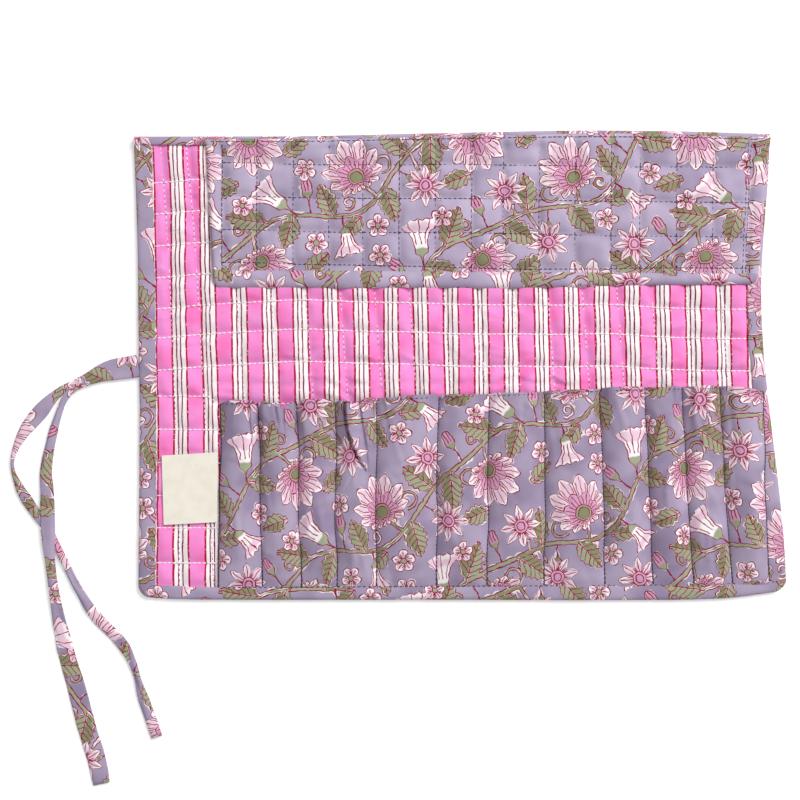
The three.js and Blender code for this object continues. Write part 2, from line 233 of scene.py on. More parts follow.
def swell(x, y, wave):
    """Soft random swells about `wave.size` mm across, up to `wave.height` up and down."""
    table = np.random.default_rng(wave.seed).uniform(-1, 1, (SWELL_CELLS, SWELL_CELLS))
    u, v = np.asarray(x) / wave.size, np.asarray(y) / wave.size
    i, j = np.floor(u).astype(int), np.floor(v).astype(int)
    fu, fv = smooth(u - i), smooth(v - j)
    at = lambda a, b: table[a % SWELL_CELLS, b % SWELL_CELLS]
    low = at(i, j) * (1 - fu) + at(i + 1, j) * fu
    high = at(i, j + 1) * (1 - fu) + at(i + 1, j + 1) * fu
    return wave.height * (low * (1 - fv) + high * fv)


def run_of(points):
    """How far along a line each of its points is."""
    return np.concatenate([[0], np.cumsum(np.linalg.norm(np.diff(points, axis=0), axis=1))])


print("a swell of", SWELL_CELLS, "cells repeats after", SWELL_CELLS * 4, "mm at a size of 4 mm")

# %% Rings round a tail
TAIL_SIDES = 18
TAIL_FLATNESS, TAIL_EDGE = 0.7, 0.6
TURNED_THICKER = 0.9
RIDGE, RIDGE_WIDTH, RIDGE_SWAY, RIDGE_WAVE = 2, 0.28, 0.45, 15
TAIL_WIDENING, TAIL_CRUMPLE = Swell(0.35, 7, 6), Swell(0.42, 4, 5)
LOWER_FOLD = 14
TABLE_GAP = 0.05


def tail_rings(route, along, widths):
    """Points round the tail, their places on the flat cloth and the height of the tail's middle."""
    ahead = np.gradient(route, axis=0)
    ahead[:, 2] = 0
    ahead /= np.linalg.norm(ahead, axis=1, keepdims=True)
    side = np.stack([-ahead[:, 1], ahead[:, 0]], axis=1)
    width = np.interp(along, *zip(*widths)) + swell(along, 0, TAIL_WIDENING)
    half, lost = width[:, None] / 2, 1 - width[:, None] / TIE_WIDTH
    thick = TIE_CLOTH / 2 * (1 + TURNED_THICKER * lost)
    turn = np.linspace(0, 2 * np.pi, TAIL_SIDES, endpoint=False)
    c, s = np.cos(turn), np.sin(turn)
    across = np.sign(c) * np.abs(c) ** TAIL_FLATNESS
    level = np.maximum(route[:, 2:], thick + TABLE_GAP)
    ridge_at = RIDGE_SWAY * np.sin(along / RIDGE_WAVE)[:, None]
    ridge = RIDGE * lost * np.exp(-((across - ridge_at) / RIDGE_WIDTH) ** 2)
    height = level + (thick + ridge * (s > 0)) * np.sign(s) * np.abs(s) ** TAIL_EDGE
    height = height + swell(along[:, None] * 0.6, across * 9, TAIL_CRUMPLE)
    plan = route[:, None, :2] + side[:, None] * (half * across)[..., None]
    rings = np.concatenate([plan, np.maximum(height, TABLE_GAP)[..., None]], axis=-1)
    cloth = np.stack([along[:, None] * np.ones(TAIL_SIDES), half * across + LOWER_FOLD * (s < 0)], axis=-1)
    return rings, cloth, level


print("a tail has", TAIL_SIDES, "sides")

# %% Tie tails
UNDER_WIDTHS = [
    (0, 10), (18, 8), (36, 3.4), (46, 4.6), (58, 8.4), (70, 7.6), (82, 3.8), (91, 1.6), (101, 3.2),
    (113, 6.4), (126, 5), (140, 4.2), (152, 4), (170, 4.2), (188, 6.2), (200, 6), (212, 5.2), (227, 3.6),
    (241, 6), (261, 6),
]
OVER_WIDTHS = [
    (0, 12), (14, 11.5), (26, 7), (38, 3.6), (48, 3.2), (60, 4.4), (77, 6), (98, 7.6), (117, 8),
    (131, 5.4), (150, 5.2), (163, 6.6), (180, 8.6), (200, 9.6), (221, 10.2), (250, 9.6), (258, 8.6),
]
POINTS_PER_SPAN, PATH_STEP = 6, 3
UNDER_PRINT, OVER_PRINT = (11, 3), (63, 31)


def tail(name, points, widths, print_shift):
    """A flat tube along the route. `widths` lists millimetres along it and how wide it shows there."""
    places = [(TIE_FIXING[0] - out, TIE_FIXING[1] + up, z) for out, up, z in points]
    route = smooth_route(places, POINTS_PER_SPAN)
    along = run_of(route)
    rings, cloth, level = tail_rings(route, along, widths)
    corner = np.arange(len(rings) * TAIL_SIDES).reshape(-1, TAIL_SIDES)
    beside = np.roll(corner, -1, axis=1)
    quads = np.stack([corner[1:], beside[1:], beside[:-1], corner[:-1]], axis=-1).reshape(-1, 4)
    faces = [*quads.tolist(), corner[0].tolist(), corner[-1][::-1].tolist()]
    obj = new_object(name, rings.reshape(-1, 3), faces, cloth.reshape(-1, 2) + print_shift)
    path = np.column_stack([route[:, :2], level])[::PATH_STEP]
    print(name, "length", round(along[-1], 1), "mm")
    return obj, path, along[-1]


tie_under, under_path, under_length = tail("tie_under_cloth", TAIL_UNDER, UNDER_WIDTHS, UNDER_PRINT)
tie_over, over_path, over_length = tail("tie_over_cloth", TAIL_OVER, OVER_WIDTHS, OVER_PRINT)
for tie, node, path, length in ((tie_under, "tie_under", under_path, under_length),
                                (tie_over, "tie_over", over_path, over_length)):
    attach(tie, "strip_00")
    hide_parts(node)
    path[0] * MM
    length * MM
    path * MM
tell("ties", [tie_under, tie_over])

# %% [markdown]
# ## The quilted panel
# Lining, wadding and cover are sewn through in a grid, and the wadding puffs up between the lines. Such a
# cushion is often made by a cloth simulation with pressure. Here its height is a formula: low at each
# stitch line, rising quickly to a flat crown, with puckers beside the thread. So every line can wander by
# its own few millimetres, as hand-guided sewing does, and the stitches are laid on by the same formula.

# %% Right edge of the panel
WAIST_INSET, WAIST_HEIGHT, TOP_INSET = 13.5, 166, 9


def right_edge(y):
    """X of the panel's right edge: in to a waist under the flap and out again at the top corner."""
    waist = BOTTOM + WAIST_HEIGHT
    below = RIGHT - WAIST_INSET * fade(y, BOTTOM, WAIST_HEIGHT)
    above = RIGHT - WAIST_INSET + (WAIST_INSET - TOP_INSET) * fade(y, waist, TOP - waist)
    return np.where(y < waist, below, above)


print("panel", round(RIGHT - LEFT), "mm wide,", round(float(right_edge(TOP)) - LEFT), "mm at the top")

# %% Stitch lines of the lining
QUILT_X = np.array([-156.6, -140.8, *np.arange(-119.35, 150, 18.65)])
QUILT_Y = [98.5, 81.6, 64.4, 47.3, 30.6, 14.8, -2.6, -16.2, -34.1, -52, -69.7, -87, -105.9]
ROW_RISE = (
    [-165, -141, -117, -89, -52, 14, 78, 110, 150],
    [0, 2.4, 3.9, 5.4, 4.2, 2.9, 3.1, 1.6, 0.6],
    8,
)
FREE_ROWS, MOUTH_ROW, PAST_MARGIN = (-10, 6), (-30, 6), (-137, 6)
ROW_DROP = 4
COLUMN_LEAN, LEAN_LOST, LEAN_MIDDLE, LEAN_ZONE = 0.08, 0.05, 11, (-165, 45)
COLUMN_SWAY, ROW_SWAY = Swell(0.5, 38, 11), Swell(0.5, 27, 12)
ALIKE = 0.15  # neighbouring lines sway nearly alike


def drift_x(x, y):
    """How far the upright stitch lines stray. They lean, the outermost one least."""
    lean = COLUMN_LEAN - LEAN_LOST * (1 - fade(x, *LEAN_ZONE))
    return swell(x * ALIKE, y, COLUMN_SWAY) - lean * (y - LEAN_MIDDLE)


def drift_y(x, y):
    """How far the level stitch lines stray. They rise from the margin, and the one at the mouths drops."""
    free = fade(y, *FREE_ROWS)
    drop = ROW_DROP * fade(x, *PAST_MARGIN) * (1 - free) * fade(y, *MOUTH_ROW)
    return eased(x, *ROW_RISE) * free - drop + swell(x, y * ALIKE, ROW_SWAY)


print("quilting", len(QUILT_X), "columns and", len(QUILT_Y), "rows")

# %% What presses on the lining
BORDER_LEFT, BORDER_RIGHT, BORDER_TOP, BORDER_BOTTOM = 9.6, 8, 5, 7
LABEL_BOX = (-164, -130, -87, -45)
FLAP_LOW, FLAP_LAP = TOP - 81.35, (7.6, 3.5)
RECOVERY = 5  # the lining rises again over this length
MOUTH_AT = [-130.5, -67, -44, -13.5, 14, 44, 76, 101, 122, 143, 163]
MOUTH_HEIGHT = [106.5, 107, 108.3, 110, 110.8, 111.8, 113.4, 114.2, 114.5, 114.5, 112.5]


def mouth(x):
    """Y of the pockets' open edge."""
    return BOTTOM + np.interp(x, MOUTH_AT, MOUTH_HEIGHT)


def covered(x, y):
    """1 where pockets, flap, label or border press on the lining, 0 where it is free."""
    pocket = fade(-y, -mouth(x) - 1, RECOVERY) * fade(x, SEAMS[0] - 3, 4)
    flap = fade(y, FLAP_LOW - 1, RECOVERY) * fade(x, HINGES[0] - FLAP_LAP[0] - 2, RECOVERY)
    inside = np.minimum.reduce([x - LEFT - BORDER_LEFT, right_edge(y) - BORDER_RIGHT - x,
                                TOP - BORDER_TOP - y, y - BOTTOM - BORDER_BOTTOM])
    x0, x1, y0, y1 = LABEL_BOX
    label = fade(np.minimum.reduce([x - x0, x1 - x, y - y0, y1 - y]), -2, 3)
    return np.maximum.reduce([pocket, flap, label, 1 - fade(inside, -0.5, RECOVERY)])


print("free lining between", round(float(mouth(0))), "and", round(FLAP_LOW), "mm")

# %% Creases
Creases = namedtuple("Creases", "height count length width heading spread seed")


def creases(x, y, area, kind):
    """Soft little folds with one steep side, scattered over an area of the cloth."""
    rng = np.random.default_rng(kind.seed)
    total = np.zeros(np.broadcast(x, y).shape)
    for _ in range(kind.count):
        mid_x, mid_y = rng.uniform(*area[0]), rng.uniform(*area[1])
        turn = kind.heading + rng.normal(0, kind.spread)
        long, wide = kind.length * rng.uniform(0.6, 1.4), kind.width * rng.uniform(0.7, 1.4)
        along = (x - mid_x) * math.cos(turn) + (y - mid_y) * math.sin(turn)
        aside = (y - mid_y) * math.cos(turn) - (x - mid_x) * math.sin(turn)
        aside = aside + rng.uniform(-0.3, 0.3) * along ** 2 / long
        fold = np.exp(-(aside / wide) ** 2) - 0.7 * np.exp(-((aside + 1.1 * wide) / (0.7 * wide)) ** 2)
        total = total + rng.uniform(0.4, 1) * np.exp(-(along / long) ** 2) * fold
    return kind.height * total


print("a kind of crease has", *Creases._fields)

# %% Heights of the quilt
GROOVE, CROWN, PRESSED = 2.2, 4.5, 1.35
COLUMN_SOFTNESS, ROW_SOFTNESS, FULLNESS = 2.6, 2.8, 1.4
PUCKER_REACH, PUCKER_LOST = 5, 0.85
SEAM_PUCKER, FINE_PUCKER = Swell(0.42, 9, 13), Swell(0.16, 6, 14)
BROAD_SWELL, CROSS_PUCKER = Swell(0.4, 27, 15), Swell(0.18, 6, 17)
LINING_CREASES = Creases(height=0.75, count=240, length=8, width=1.5, heading=0, spread=0.3, seed=18)
LINING_AREA = ((LEFT, RIGHT), (-20, TOP))
COVER_FLOOR, COVER_LEVEL, COVER_DENT, COVER_SWELL = 0.06, 0.15, 0.9, Swell(0.1, 12, 16)


def nearest(values, lines):
    """Distance from each value to the nearest of some lines."""
    return np.min(np.abs(np.asarray(values)[..., None] - np.asarray(lines)), axis=-1)


def puffed(distance, softness):
    return 1 - np.exp(-(distance / softness) ** FULLNESS)


def quilt_puff(x, y):
    """0 on the stitch lines, 1 on the crowns."""
    across = puffed(nearest(x - drift_x(x, y), QUILT_X), COLUMN_SOFTNESS)
    return across * puffed(nearest(y - drift_y(x, y), QUILT_Y), ROW_SOFTNESS)


def quilt_top(x, y):
    """The striped lining."""
    beside = np.exp(-nearest(y - drift_y(x, y), QUILT_Y) / PUCKER_REACH)
    pucker = swell(x * 2, y * 0.6, SEAM_PUCKER) * beside + swell(x, y, FINE_PUCKER)
    pucker = pucker + swell(x, y, BROAD_SWELL) + swell(x * 0.4, y * 1.7, CROSS_PUCKER)
    pucker = pucker + creases(x, y, LINING_AREA, LINING_CREASES)
    pressed = covered(x, y)
    cushion = (CROWN - GROOVE - PRESSED * pressed) * quilt_puff(x, y)
    return GROOVE + cushion + pucker * (1 - PUCKER_LOST * pressed)


def quilt_bottom(x, y):
    """The printed outside, dented at the stitch lines."""
    dent = COVER_LEVEL + COVER_DENT * (1 - quilt_puff(x, y))
    return np.maximum(COVER_FLOOR, dent + swell(x, y, COVER_SWELL))


print("lining about", GROOVE, "mm high at a stitch line and", CROWN, "mm on a crown")

# %% Grid of the panel
PANEL_INSET, COLUMN_STEP, ROW_STEP = 2.5, 1.7, 1.3
FOLLOW_EDGE = 150  # columns right of here follow the right edge
STRIPE_BEND = ([-165, -140, -112, -60, 14, 150], [0.2, 0.2, 0.8, 0.8, -0.4, -0.2], 12)
STRIPE_LEAN, MORE_LEAN, LEAN_PIVOT, MORE_ZONE = 0.0055, 0.013, 18, (-160, 30)
HIGH_ROWS, PAST_CORNER = (50, 50), (-150, 30)  # the stripes draw aside in the upper left corner


def divide(knots, step):
    """Places from the first knot to the last, about `step` apart, with every knot among them."""
    counts = [max(2, math.ceil((b - a) / step) + 1) for a, b in zip(knots, knots[1:])]
    spans = [np.linspace(a, b, n)[:-1] for a, b, n in zip(knots, knots[1:], counts)]
    return np.concatenate(spans + [[knots[-1]]])


def grid_normals(grid):
    across, along = np.gradient(grid, axis=1), np.gradient(grid, axis=0)
    normal = np.cross(across, along)
    return normal / np.maximum(np.linalg.norm(normal, axis=-1, keepdims=True), 1e-9)


def marks(places, lines):
    """Numbers of the first place, of the places on some lines and of the last place."""
    return [0] + [int(np.argmin(np.abs(places - line))) for line in lines] + [len(places) - 1]


panel_x = divide([LEFT + PANEL_INSET, *CUTS, FOLLOW_EDGE, RIGHT - PANEL_INSET], COLUMN_STEP)
panel_y = divide([BOTTOM + PANEL_INSET, TOP - PANEL_INSET], ROW_STEP)
panel_cols, panel_rows = np.meshgrid(panel_x, panel_y)
reach = (right_edge(panel_rows) - PANEL_INSET - FOLLOW_EDGE) / (RIGHT - PANEL_INSET - FOLLOW_EDGE)
followed = FOLLOW_EDGE + (panel_cols - FOLLOW_EDGE) * reach
panel_cols = np.where(panel_cols > FOLLOW_EDGE, followed, panel_cols)
upper = np.stack([panel_cols, panel_rows, quilt_top(panel_cols, panel_rows)], axis=-1)
lower = np.stack([panel_cols, panel_rows, quilt_bottom(panel_cols, panel_rows)], axis=-1)
upper_normals, lower_normals = grid_normals(upper), grid_normals(lower)
stripe_lean = STRIPE_LEAN + MORE_LEAN * fade(panel_cols, *MORE_ZONE)
lining_x = panel_cols - eased(panel_cols, *STRIPE_BEND) + stripe_lean * (panel_rows - LEAN_PIVOT)
lining_x = lining_x - fade(panel_rows, *HIGH_ROWS) * (1 - fade(panel_cols, *PAST_CORNER))
lining_uv = np.stack([lining_x, panel_rows], axis=-1)
print("panel grid", panel_cols.shape)


# %% A cloth with two faces
def grid_faces(rows, columns, start=0, flip=False):
    corner = start + np.arange(rows * columns).reshape(rows, columns)
    quads = np.stack([corner[:-1, :-1], corner[:-1, 1:], corner[1:, 1:], corner[1:, :-1]], axis=-1)
    quads = quads.reshape(-1, 4)
    return quads[:, ::-1] if flip else quads


def rim_of(rows, columns):
    corner = np.arange(rows * columns).reshape(rows, columns)
    return np.concatenate([corner[0, :-1], corner[:-1, -1], corner[-1, :0:-1], corner[:0:-1, 0]])


def two_faced(name, upper, lower, uv_upper, uv_lower, upper_normals, lower_normals, patch=None):
    """A closed cloth from grids of its two faces: upper material 0, lower and rim material 1.

    `patch` moves the print on single upper faces, where another piece of cloth is sewn on.
    """
    rows, columns = upper.shape[:2]
    count = rows * columns
    rim = rim_of(rows, columns)
    after = np.roll(rim, -1)
    walls = np.stack([after, rim, rim + count, after + count], axis=-1)
    top_faces = grid_faces(rows, columns)
    faces = np.concatenate([top_faces, grid_faces(rows, columns, count, True), walls])
    kinds = np.ones(len(faces), int)
    kinds[:len(top_faces)] = 0
    flat = lambda a, b, n: np.concatenate([a.reshape(-1, n), b.reshape(-1, n)])
    obj = new_object(name, flat(upper, lower, 3), faces, flat(uv_upper, uv_lower, 2), kinds,
                     flat(upper_normals, -lower_normals, 3))
    if patch is not None:
        layer = obj.data.uv_layers["cloth"]
        uv = np.empty(len(obj.data.loops) * 2, np.float32)
        layer.data.foreach_get("uv", uv)
        moved = np.repeat(patch.reshape(-1, 2), 4, axis=0).ravel() * MM
        uv[:len(moved)] += moved
        layer.data.foreach_set("uv", uv)
    return obj


print("a grid of 3 by 4 points has", len(grid_faces(3, 4)), "faces and", len(rim_of(3, 4)), "rim points")

# %% Quilted pieces between the cuts
BEND, BEND_MARGIN = 15, 3
OUTSIDE_MIRROR, OUTSIDE_SHIFT = (-1, 1), (15, 40)


def bend(obj, j):
    """Bakes piece j's placement into its mesh; the span about its hinge is worked out, and not used."""
    x = HINGES[j - 1]
    start = max(x - BEND, ([LEFT] + CUTS)[j - 1] + BEND_MARGIN)
    end = min(x + BEND, (CUTS + [RIGHT])[j - 1] - BEND_MARGIN)
    start * MM
    end * MM
    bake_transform(obj)


def strips_under(j):
    """Numbers of the strips that piece j stands for. The first piece takes in the margin."""
    return [0, 1] if j == 1 else [j]


panel_marks = marks(panel_x, CUTS)
quilts = []
for j in range(1, STRIPS):
    part = np.s_[:, panel_marks[j - 1]:panel_marks[j] + 1]
    outside_uv = upper[part][..., :2] * OUTSIDE_MIRROR + OUTSIDE_SHIFT
    quilt = two_faced(f"quilt_{j:02d}", upper[part], lower[part], lining_uv[part], outside_uv,
                      upper_normals[part], lower_normals[part])
    bend(quilt, j)
    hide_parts(*[f"{layer}_{n:02d}" for n in strips_under(j) for layer in ("wadding", "lining")])
    quilts.append(quilt)
tell("quilts", quilts)

# %% [markdown]
# ## The border
# The printed cover is larger than the lining, and its edge is turned over the lining and sewn down. In
# section the fold is a soft flat loop. A curve with that loop as its bevel would make one straight edge,
# but here the width changes on the way and the corners are round. So stations go along the left, bottom
# and right edges, each with its own width, and the loop is laid at every station. The top edge has a
# second, narrower strip, which lies over the left border's end.

# %% Widths of the border
FOOT_WIDTHS = (6.8, 9)
UNDER_POCKETS = 1.5
POCKET_FOOT = BOTTOM + 6
LEAN_TOP = [0.5, -0.9, -2.1, -1.3, -2, 1.2, 0.9, 0.5, -2.2, -2.8, -4, -4.6, -1.4]
LEAN_FOOT = [-0.6, 1.7, 0.7, -0.2, -2, -0.2, -0.5, 0.2, 1, 2, 3, 2.8, 2.3]
SEAM_SWAY = Swell(1.1, 21, 19)


def lean_seams(x, y):
    """Moves the pocket cloth sideways, because its seams aren't quite upright."""
    share = np.clip((y - POCKET_FOOT) / (mouth(x) - POCKET_FOOT), 0, 1)
    at_top, at_foot = np.interp(x, SEAMS, LEAN_TOP), np.interp(x, SEAMS, LEAN_FOOT)
    return x + at_top * share + at_foot * (1 - share) + swell(x * 0.3, y, SEAM_SWAY) * np.sin(np.pi * share)


def foot_width(x):
    """The bottom border, wider towards the right."""
    return np.interp(x, (LEFT, RIGHT), FOOT_WIDTHS)


def right_width(y):
    """The right border, which reaches under the pocket cloth as far as its last seam."""
    last_seam = lean_seams(np.full_like(y, SEAMS[-1]), y)
    beside = right_edge(y) - last_seam + UNDER_POCKETS
    return np.where(y < mouth(SEAMS[-1]), np.maximum(beside, BORDER_RIGHT), BORDER_RIGHT)


print("border", BORDER_LEFT, "mm at the left and", FOOT_WIDTHS, "mm at the bottom")

# %% Stations along three edges
CORNER, CORNER_STATIONS = 7, 12
SIDE_STATIONS, EDGE_STEP, STRIP_LAP = 122, 2, 3


def stretch(x, y, way_x, way_y, width):
    """One stretch of the edge: places, the way inwards and the border's width."""
    return np.stack(np.broadcast_arrays(x, y, way_x, way_y, width), axis=1).astype(float)


def corner_stretch(arc, middle, first_width, last_width):
    """A round corner, on which the border goes from one width to another."""
    c, s = np.cos(arc), np.sin(arc)
    width = first_width + (last_width - first_width) * np.linspace(0, 1, len(arc))
    return stretch(middle + CORNER * c, BOTTOM + CORNER + CORNER * s, -c, -s, width)


def border_stations():
    """Places on the outer edge, ways inwards and widths, from top left round to top right."""
    down = np.linspace(TOP - STRIP_LAP, BOTTOM + CORNER, SIDE_STATIONS)
    along = divide([LEFT + CORNER, *CUTS, RIGHT - CORNER], EDGE_STEP)
    up = np.linspace(BOTTOM + CORNER, TOP - STRIP_LAP, SIDE_STATIONS)
    arc = np.radians(np.linspace(180, 270, CORNER_STATIONS))[1:-1]
    edge, widths = right_edge(up), right_width(up)
    lean = np.gradient(edge, up)
    steep = np.hypot(1, lean)
    stations = np.concatenate([
        stretch(LEFT, down, 1, 0, BORDER_LEFT),
        corner_stretch(arc, LEFT + CORNER, BORDER_LEFT, FOOT_WIDTHS[0]),
        stretch(along, BOTTOM, 0, 1, foot_width(along)),
        corner_stretch(arc + np.pi / 2, RIGHT - CORNER, FOOT_WIDTHS[1], widths[0]),
        stretch(edge, up, -1 / steep, lean / steep, widths),
    ])
    return stations[:, :2], stations[:, 2:4], stations[:, 4]


edge_points, edge_ways, edge_widths = border_stations()
print("stations", len(edge_points), "along three edges")

# %% The folded section, swept
FOLD_SHARE = np.array([1, 1, 0.62, 0.3, 0, 0, 0, 0, 0, 0.45, 1, 1])
FOLD_OFFSET = np.array([0, -0.35, 0, 0, 1.1, 0.25, 0, 0.3, 1.3, 0.8, -0.5, -0.6])
FOLD_HEIGHT = np.array([2.9, 3.7, 3.95, 3.9, 3.5, 2.6, 1.7, 0.7, 0.12, 0.02, 0.12, 1.4])
FOLD_WANDER, FOLD_PLUMP, PLUMP_SPREAD = (0.45, 13), (0.05, 8), 30
STRIP_LIFT, STRIP_SHORT = 0.55, (0.4, 0.3)
EDGE_SEED, STRIP_SEED = 21, 23


def sweep(points, ways, widths, lift, seed):
    """Rings of the folded section along the edge, with their places on the flat cloth."""
    run = run_of(points)
    wander = swell(run, 0, Swell(*FOLD_WANDER, seed))
    plump = 1 + swell(run[:, None], FOLD_SHARE * PLUMP_SPREAD, Swell(*FOLD_PLUMP, seed + 1))
    inset = FOLD_SHARE * (widths + wander)[:, None] + FOLD_OFFSET
    height = FOLD_HEIGHT * plump + np.where(FOLD_HEIGHT > 1, lift, 0)
    rings = np.concatenate([points[:, None] + ways[:, None] * inset[..., None], height[..., None]], axis=-1)
    step = np.linalg.norm(np.diff(rings, axis=1), axis=-1)
    girth = np.concatenate([np.zeros((len(rings), 1)), np.cumsum(step, axis=1)], axis=1)
    flat = points[:, None] + ways[:, None] * (widths[:, None] - girth)[..., None]
    return rings, flat


edge_rings, edge_flat = sweep(edge_points, edge_ways, edge_widths, 0, EDGE_SEED)
strip_x = divide([LEFT + STRIP_SHORT[0], *CUTS, float(right_edge(TOP)) - STRIP_SHORT[1]], EDGE_STEP)
top = stretch(strip_x, TOP, 0, -1, BORDER_TOP)
strip_rings, strip_flat = sweep(top[:, :2], top[:, 2:4], top[:, 4], STRIP_LIFT, STRIP_SEED)
print("rings", len(edge_rings), "on three edges and", len(strip_rings), "on the top edge")


# %% Faces and normals of a loop
def loop_normals(rings):
    """Normals of a swept loop, pointing out of it."""
    around = np.concatenate([rings[:, -1:], rings, rings[:, :1]], axis=1)
    normals = grid_normals(around)[:, 1:-1]
    outward = rings - rings.mean(axis=1, keepdims=True)
    return normals * np.sign(np.sum(normals * outward))


def loop_faces(rows, columns, start, flip):
    """Faces of a swept loop with both of its ends closed."""
    corner = start + np.arange(rows * columns).reshape(rows, columns)
    beside = np.roll(corner, -1, axis=1)
    quads = np.stack([corner[:-1], corner[1:], beside[1:], beside[:-1]], axis=-1).reshape(-1, 4).tolist()
    faces = [*quads, corner[0].tolist(), corner[-1][::-1].tolist()]
    return [face[::-1] for face in faces] if flip else faces


edge_normals, strip_normals = loop_normals(edge_rings), loop_normals(strip_rings)
print("normals", len(edge_normals) + len(strip_normals), "rings")

# %% Border pieces
BORDER_PRINT = (37, 21)
SAME_PLACE = 1e-6


def station_at(cut):
    """Number of the station where a cut crosses the bottom edge."""
    away = np.abs(edge_points - (cut, BOTTOM))
    return int(np.flatnonzero(np.all(away < SAME_PLACE, axis=1))[0])


edge_marks = [0] + [station_at(cut) for cut in CUTS] + [len(edge_points) - 1]
strip_marks = marks(strip_x, CUTS)
borders = []
for j in range(1, STRIPS):
    on_edge = np.s_[edge_marks[j - 1]:edge_marks[j] + 1]
    on_strip = np.s_[strip_marks[j - 1]:strip_marks[j] + 1]
    both = lambda edge, strip, n: np.vstack([edge[on_edge].reshape(-1, n), strip[on_strip].reshape(-1, n)])
    edge_count, columns = edge_rings[on_edge].shape[:2]
    faces = loop_faces(edge_count, columns, 0, True)
    faces += loop_faces(len(strip_rings[on_strip]), columns, edge_count * columns, False)
    border = new_object(f"border_{j:02d}", both(edge_rings, strip_rings, 3), faces,
                        both(edge_flat, strip_flat, 2) + BORDER_PRINT,
                        normals=both(edge_normals, strip_normals, 3))
    bend(border, j)
    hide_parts(*[f"cover_{n:02d}" for n in strips_under(j)])
    borders.append(border)
tell("borders", borders)

# %% [markdown]
# ## The pockets
# One printed cloth is laid over the lower part of the lining and sewn down along thirteen lines, which
# makes twelve pockets. It is cut too wide on purpose, so it arches between two lines, its mouth stands a
# little open, and spare cloth runs down from the mouths at the left as gathers. A simulation would put
# those folds anywhere. As sums of small formulas they lie where a maker's hand left them. The cloth is
# a sheet with two faces 0.7 mm apart.

# %% Gathers and a box pleat
GATHERS = [  # x and y where a fold starts, x and y where it ends, bend, height, width, crispness
    (-113, -17, -112, -48, 1, 2.4, 3, 0),
    (-106.5, -17, -107, -50, 1, 2.6, 3.5, 0.4),
    (-93, -17, -93.5, -40, 1, 1.2, 3, 0),
    (-84.5, -17, -83, -48, 1, 1.6, 4, 0.3),
    (-98, -17, -96, -34, 1, 1.2, 3, 0),
    (-39.5, -16, -36, -42, 1, 1.1, 4, 0),
    (118, -12, 118, -46, 1, 1.0, 3.5, 0),
    (148, -12, 150, -52, 1, 1.2, 4, 0),
    (80, -12, 84, -40, 2, 0.9, 5, 0),
    (128, -12, 126, -40, 1, 0.9, 3, 0),
]
PLEAT_TOP, PLEAT_LENGTH = -16, 43
PLEAT_LEFT, PLEAT_RIGHT = -60.9, -54.6
LEFT_STRAYS, RIGHT_STRAYS, LEAST_WIDTH = 15, 5.8, 0.5
RIBBON_RISE, RIBBON_SLOPE = 4, 3.2
LEFT_SLIT, RIGHT_SLIT, SLIT_WIDTH = 2.6, 2, 0.6
LEFT_SLIT_OFF, RIGHT_SLIT_OFF = 0.6, 0.5
SLACK_RISE, SLACK_WIDTH, SLACK_ZONE = 2.8, 8, (44.5, 2.5)


def pleat(away, crisp):
    """Section of a fold: a steep lip at 0, a slit on its left and a long slope on its right."""
    lip = np.where(away < 0, np.exp(-(away / (0.2 - 0.11 * crisp)) ** 2), np.exp(-away ** 2))
    slit = np.exp(-((away + 0.5 - 0.2 * crisp) / (0.3 - 0.15 * crisp)) ** 2)
    return lip - (0.5 + 0.4 * crisp) * slit


def gathered(x, y):
    """Height of all the gathers, each highest at the mouth."""
    total = 0
    for x0, y0, x1, y1, curve, rise, width, crisp in GATHERS:
        t = np.clip((y0 - y) / (y0 - y1), 0, 1)
        away = (x - x0 - (x1 - x0) * t ** curve) / width
        total = total + rise * (1 - t) ** (0.7 - 0.35 * crisp) * pleat(away, crisp)
    return total


def box_pleat(x, y):
    """A ribbon of spare cloth folded flat at the mouth of the fourth pocket, which runs out lower down."""
    t = np.clip((PLEAT_TOP - y) / PLEAT_LENGTH, 0, 1)
    left = PLEAT_LEFT + LEFT_STRAYS * t ** 3
    right = np.maximum(PLEAT_RIGHT + RIGHT_STRAYS * t, left + LEAST_WIDTH)
    across = (x - left) / (right - left)
    ribbon = np.where((across > 0) & (across < 1), RIBBON_RISE - RIBBON_SLOPE * across, 0)
    slits = LEFT_SLIT * np.exp(-((x - left + LEFT_SLIT_OFF) / SLIT_WIDTH) ** 2)
    slits = slits + RIGHT_SLIT * np.exp(-((x - right - RIGHT_SLIT_OFF) / SLIT_WIDTH) ** 2)
    slack = np.where(x > right, np.clip((x - right) / SLACK_WIDTH, 0, 1), 0) * fade(-x, *SLACK_ZONE)
    return (ribbon - slits + SLACK_RISE * slack) * (1 - t) ** 0.4


print("gathers", len(GATHERS), "and a box pleat", round(PLEAT_RIGHT - PLEAT_LEFT, 1), "mm wide")

# %% Height of the pocket cloth
POCKET_CLOTH, SEAM_LEVEL, OVER_BORDER = 0.7, 3.6, 0.9
POCKET_RISE, POCKET_ARCH = 5.6, 0.68
FIRST_RAMP, FIRST_SHARE, POCKET_RAMP = 6, 0.3, 30
FOOT_DIP, FOOT_DIP_ZONE = 0.4, (-POCKET_FOOT - 1.5, 1.2)
CLIMB_ZONE = (SEAMS[-1] - 14, 8)
GAPING, GAPING_DEPTH, LEFT_POCKETS = 0.3, (26, 24), (45, 20)
DRAW_REACH = 3.5
HEM_WIDTH, HEM_RISE, HEM_STEP = 2.4, 0.3, 0.8
POCKET_SWELL, SEAM_DRAW, SMALL_SWELL = Swell(0.14, 22, 31), Swell(0.22, 8, 32), Swell(0.3, 11, 33)
LONG_CREASES = Creases(height=0.85, count=120, length=13, width=2.6, heading=1.2, spread=0.5, seed=35)
SHORT_CREASES = Creases(height=0.5, count=90, length=7, width=1.6, heading=0.4, spread=0.7, seed=36)
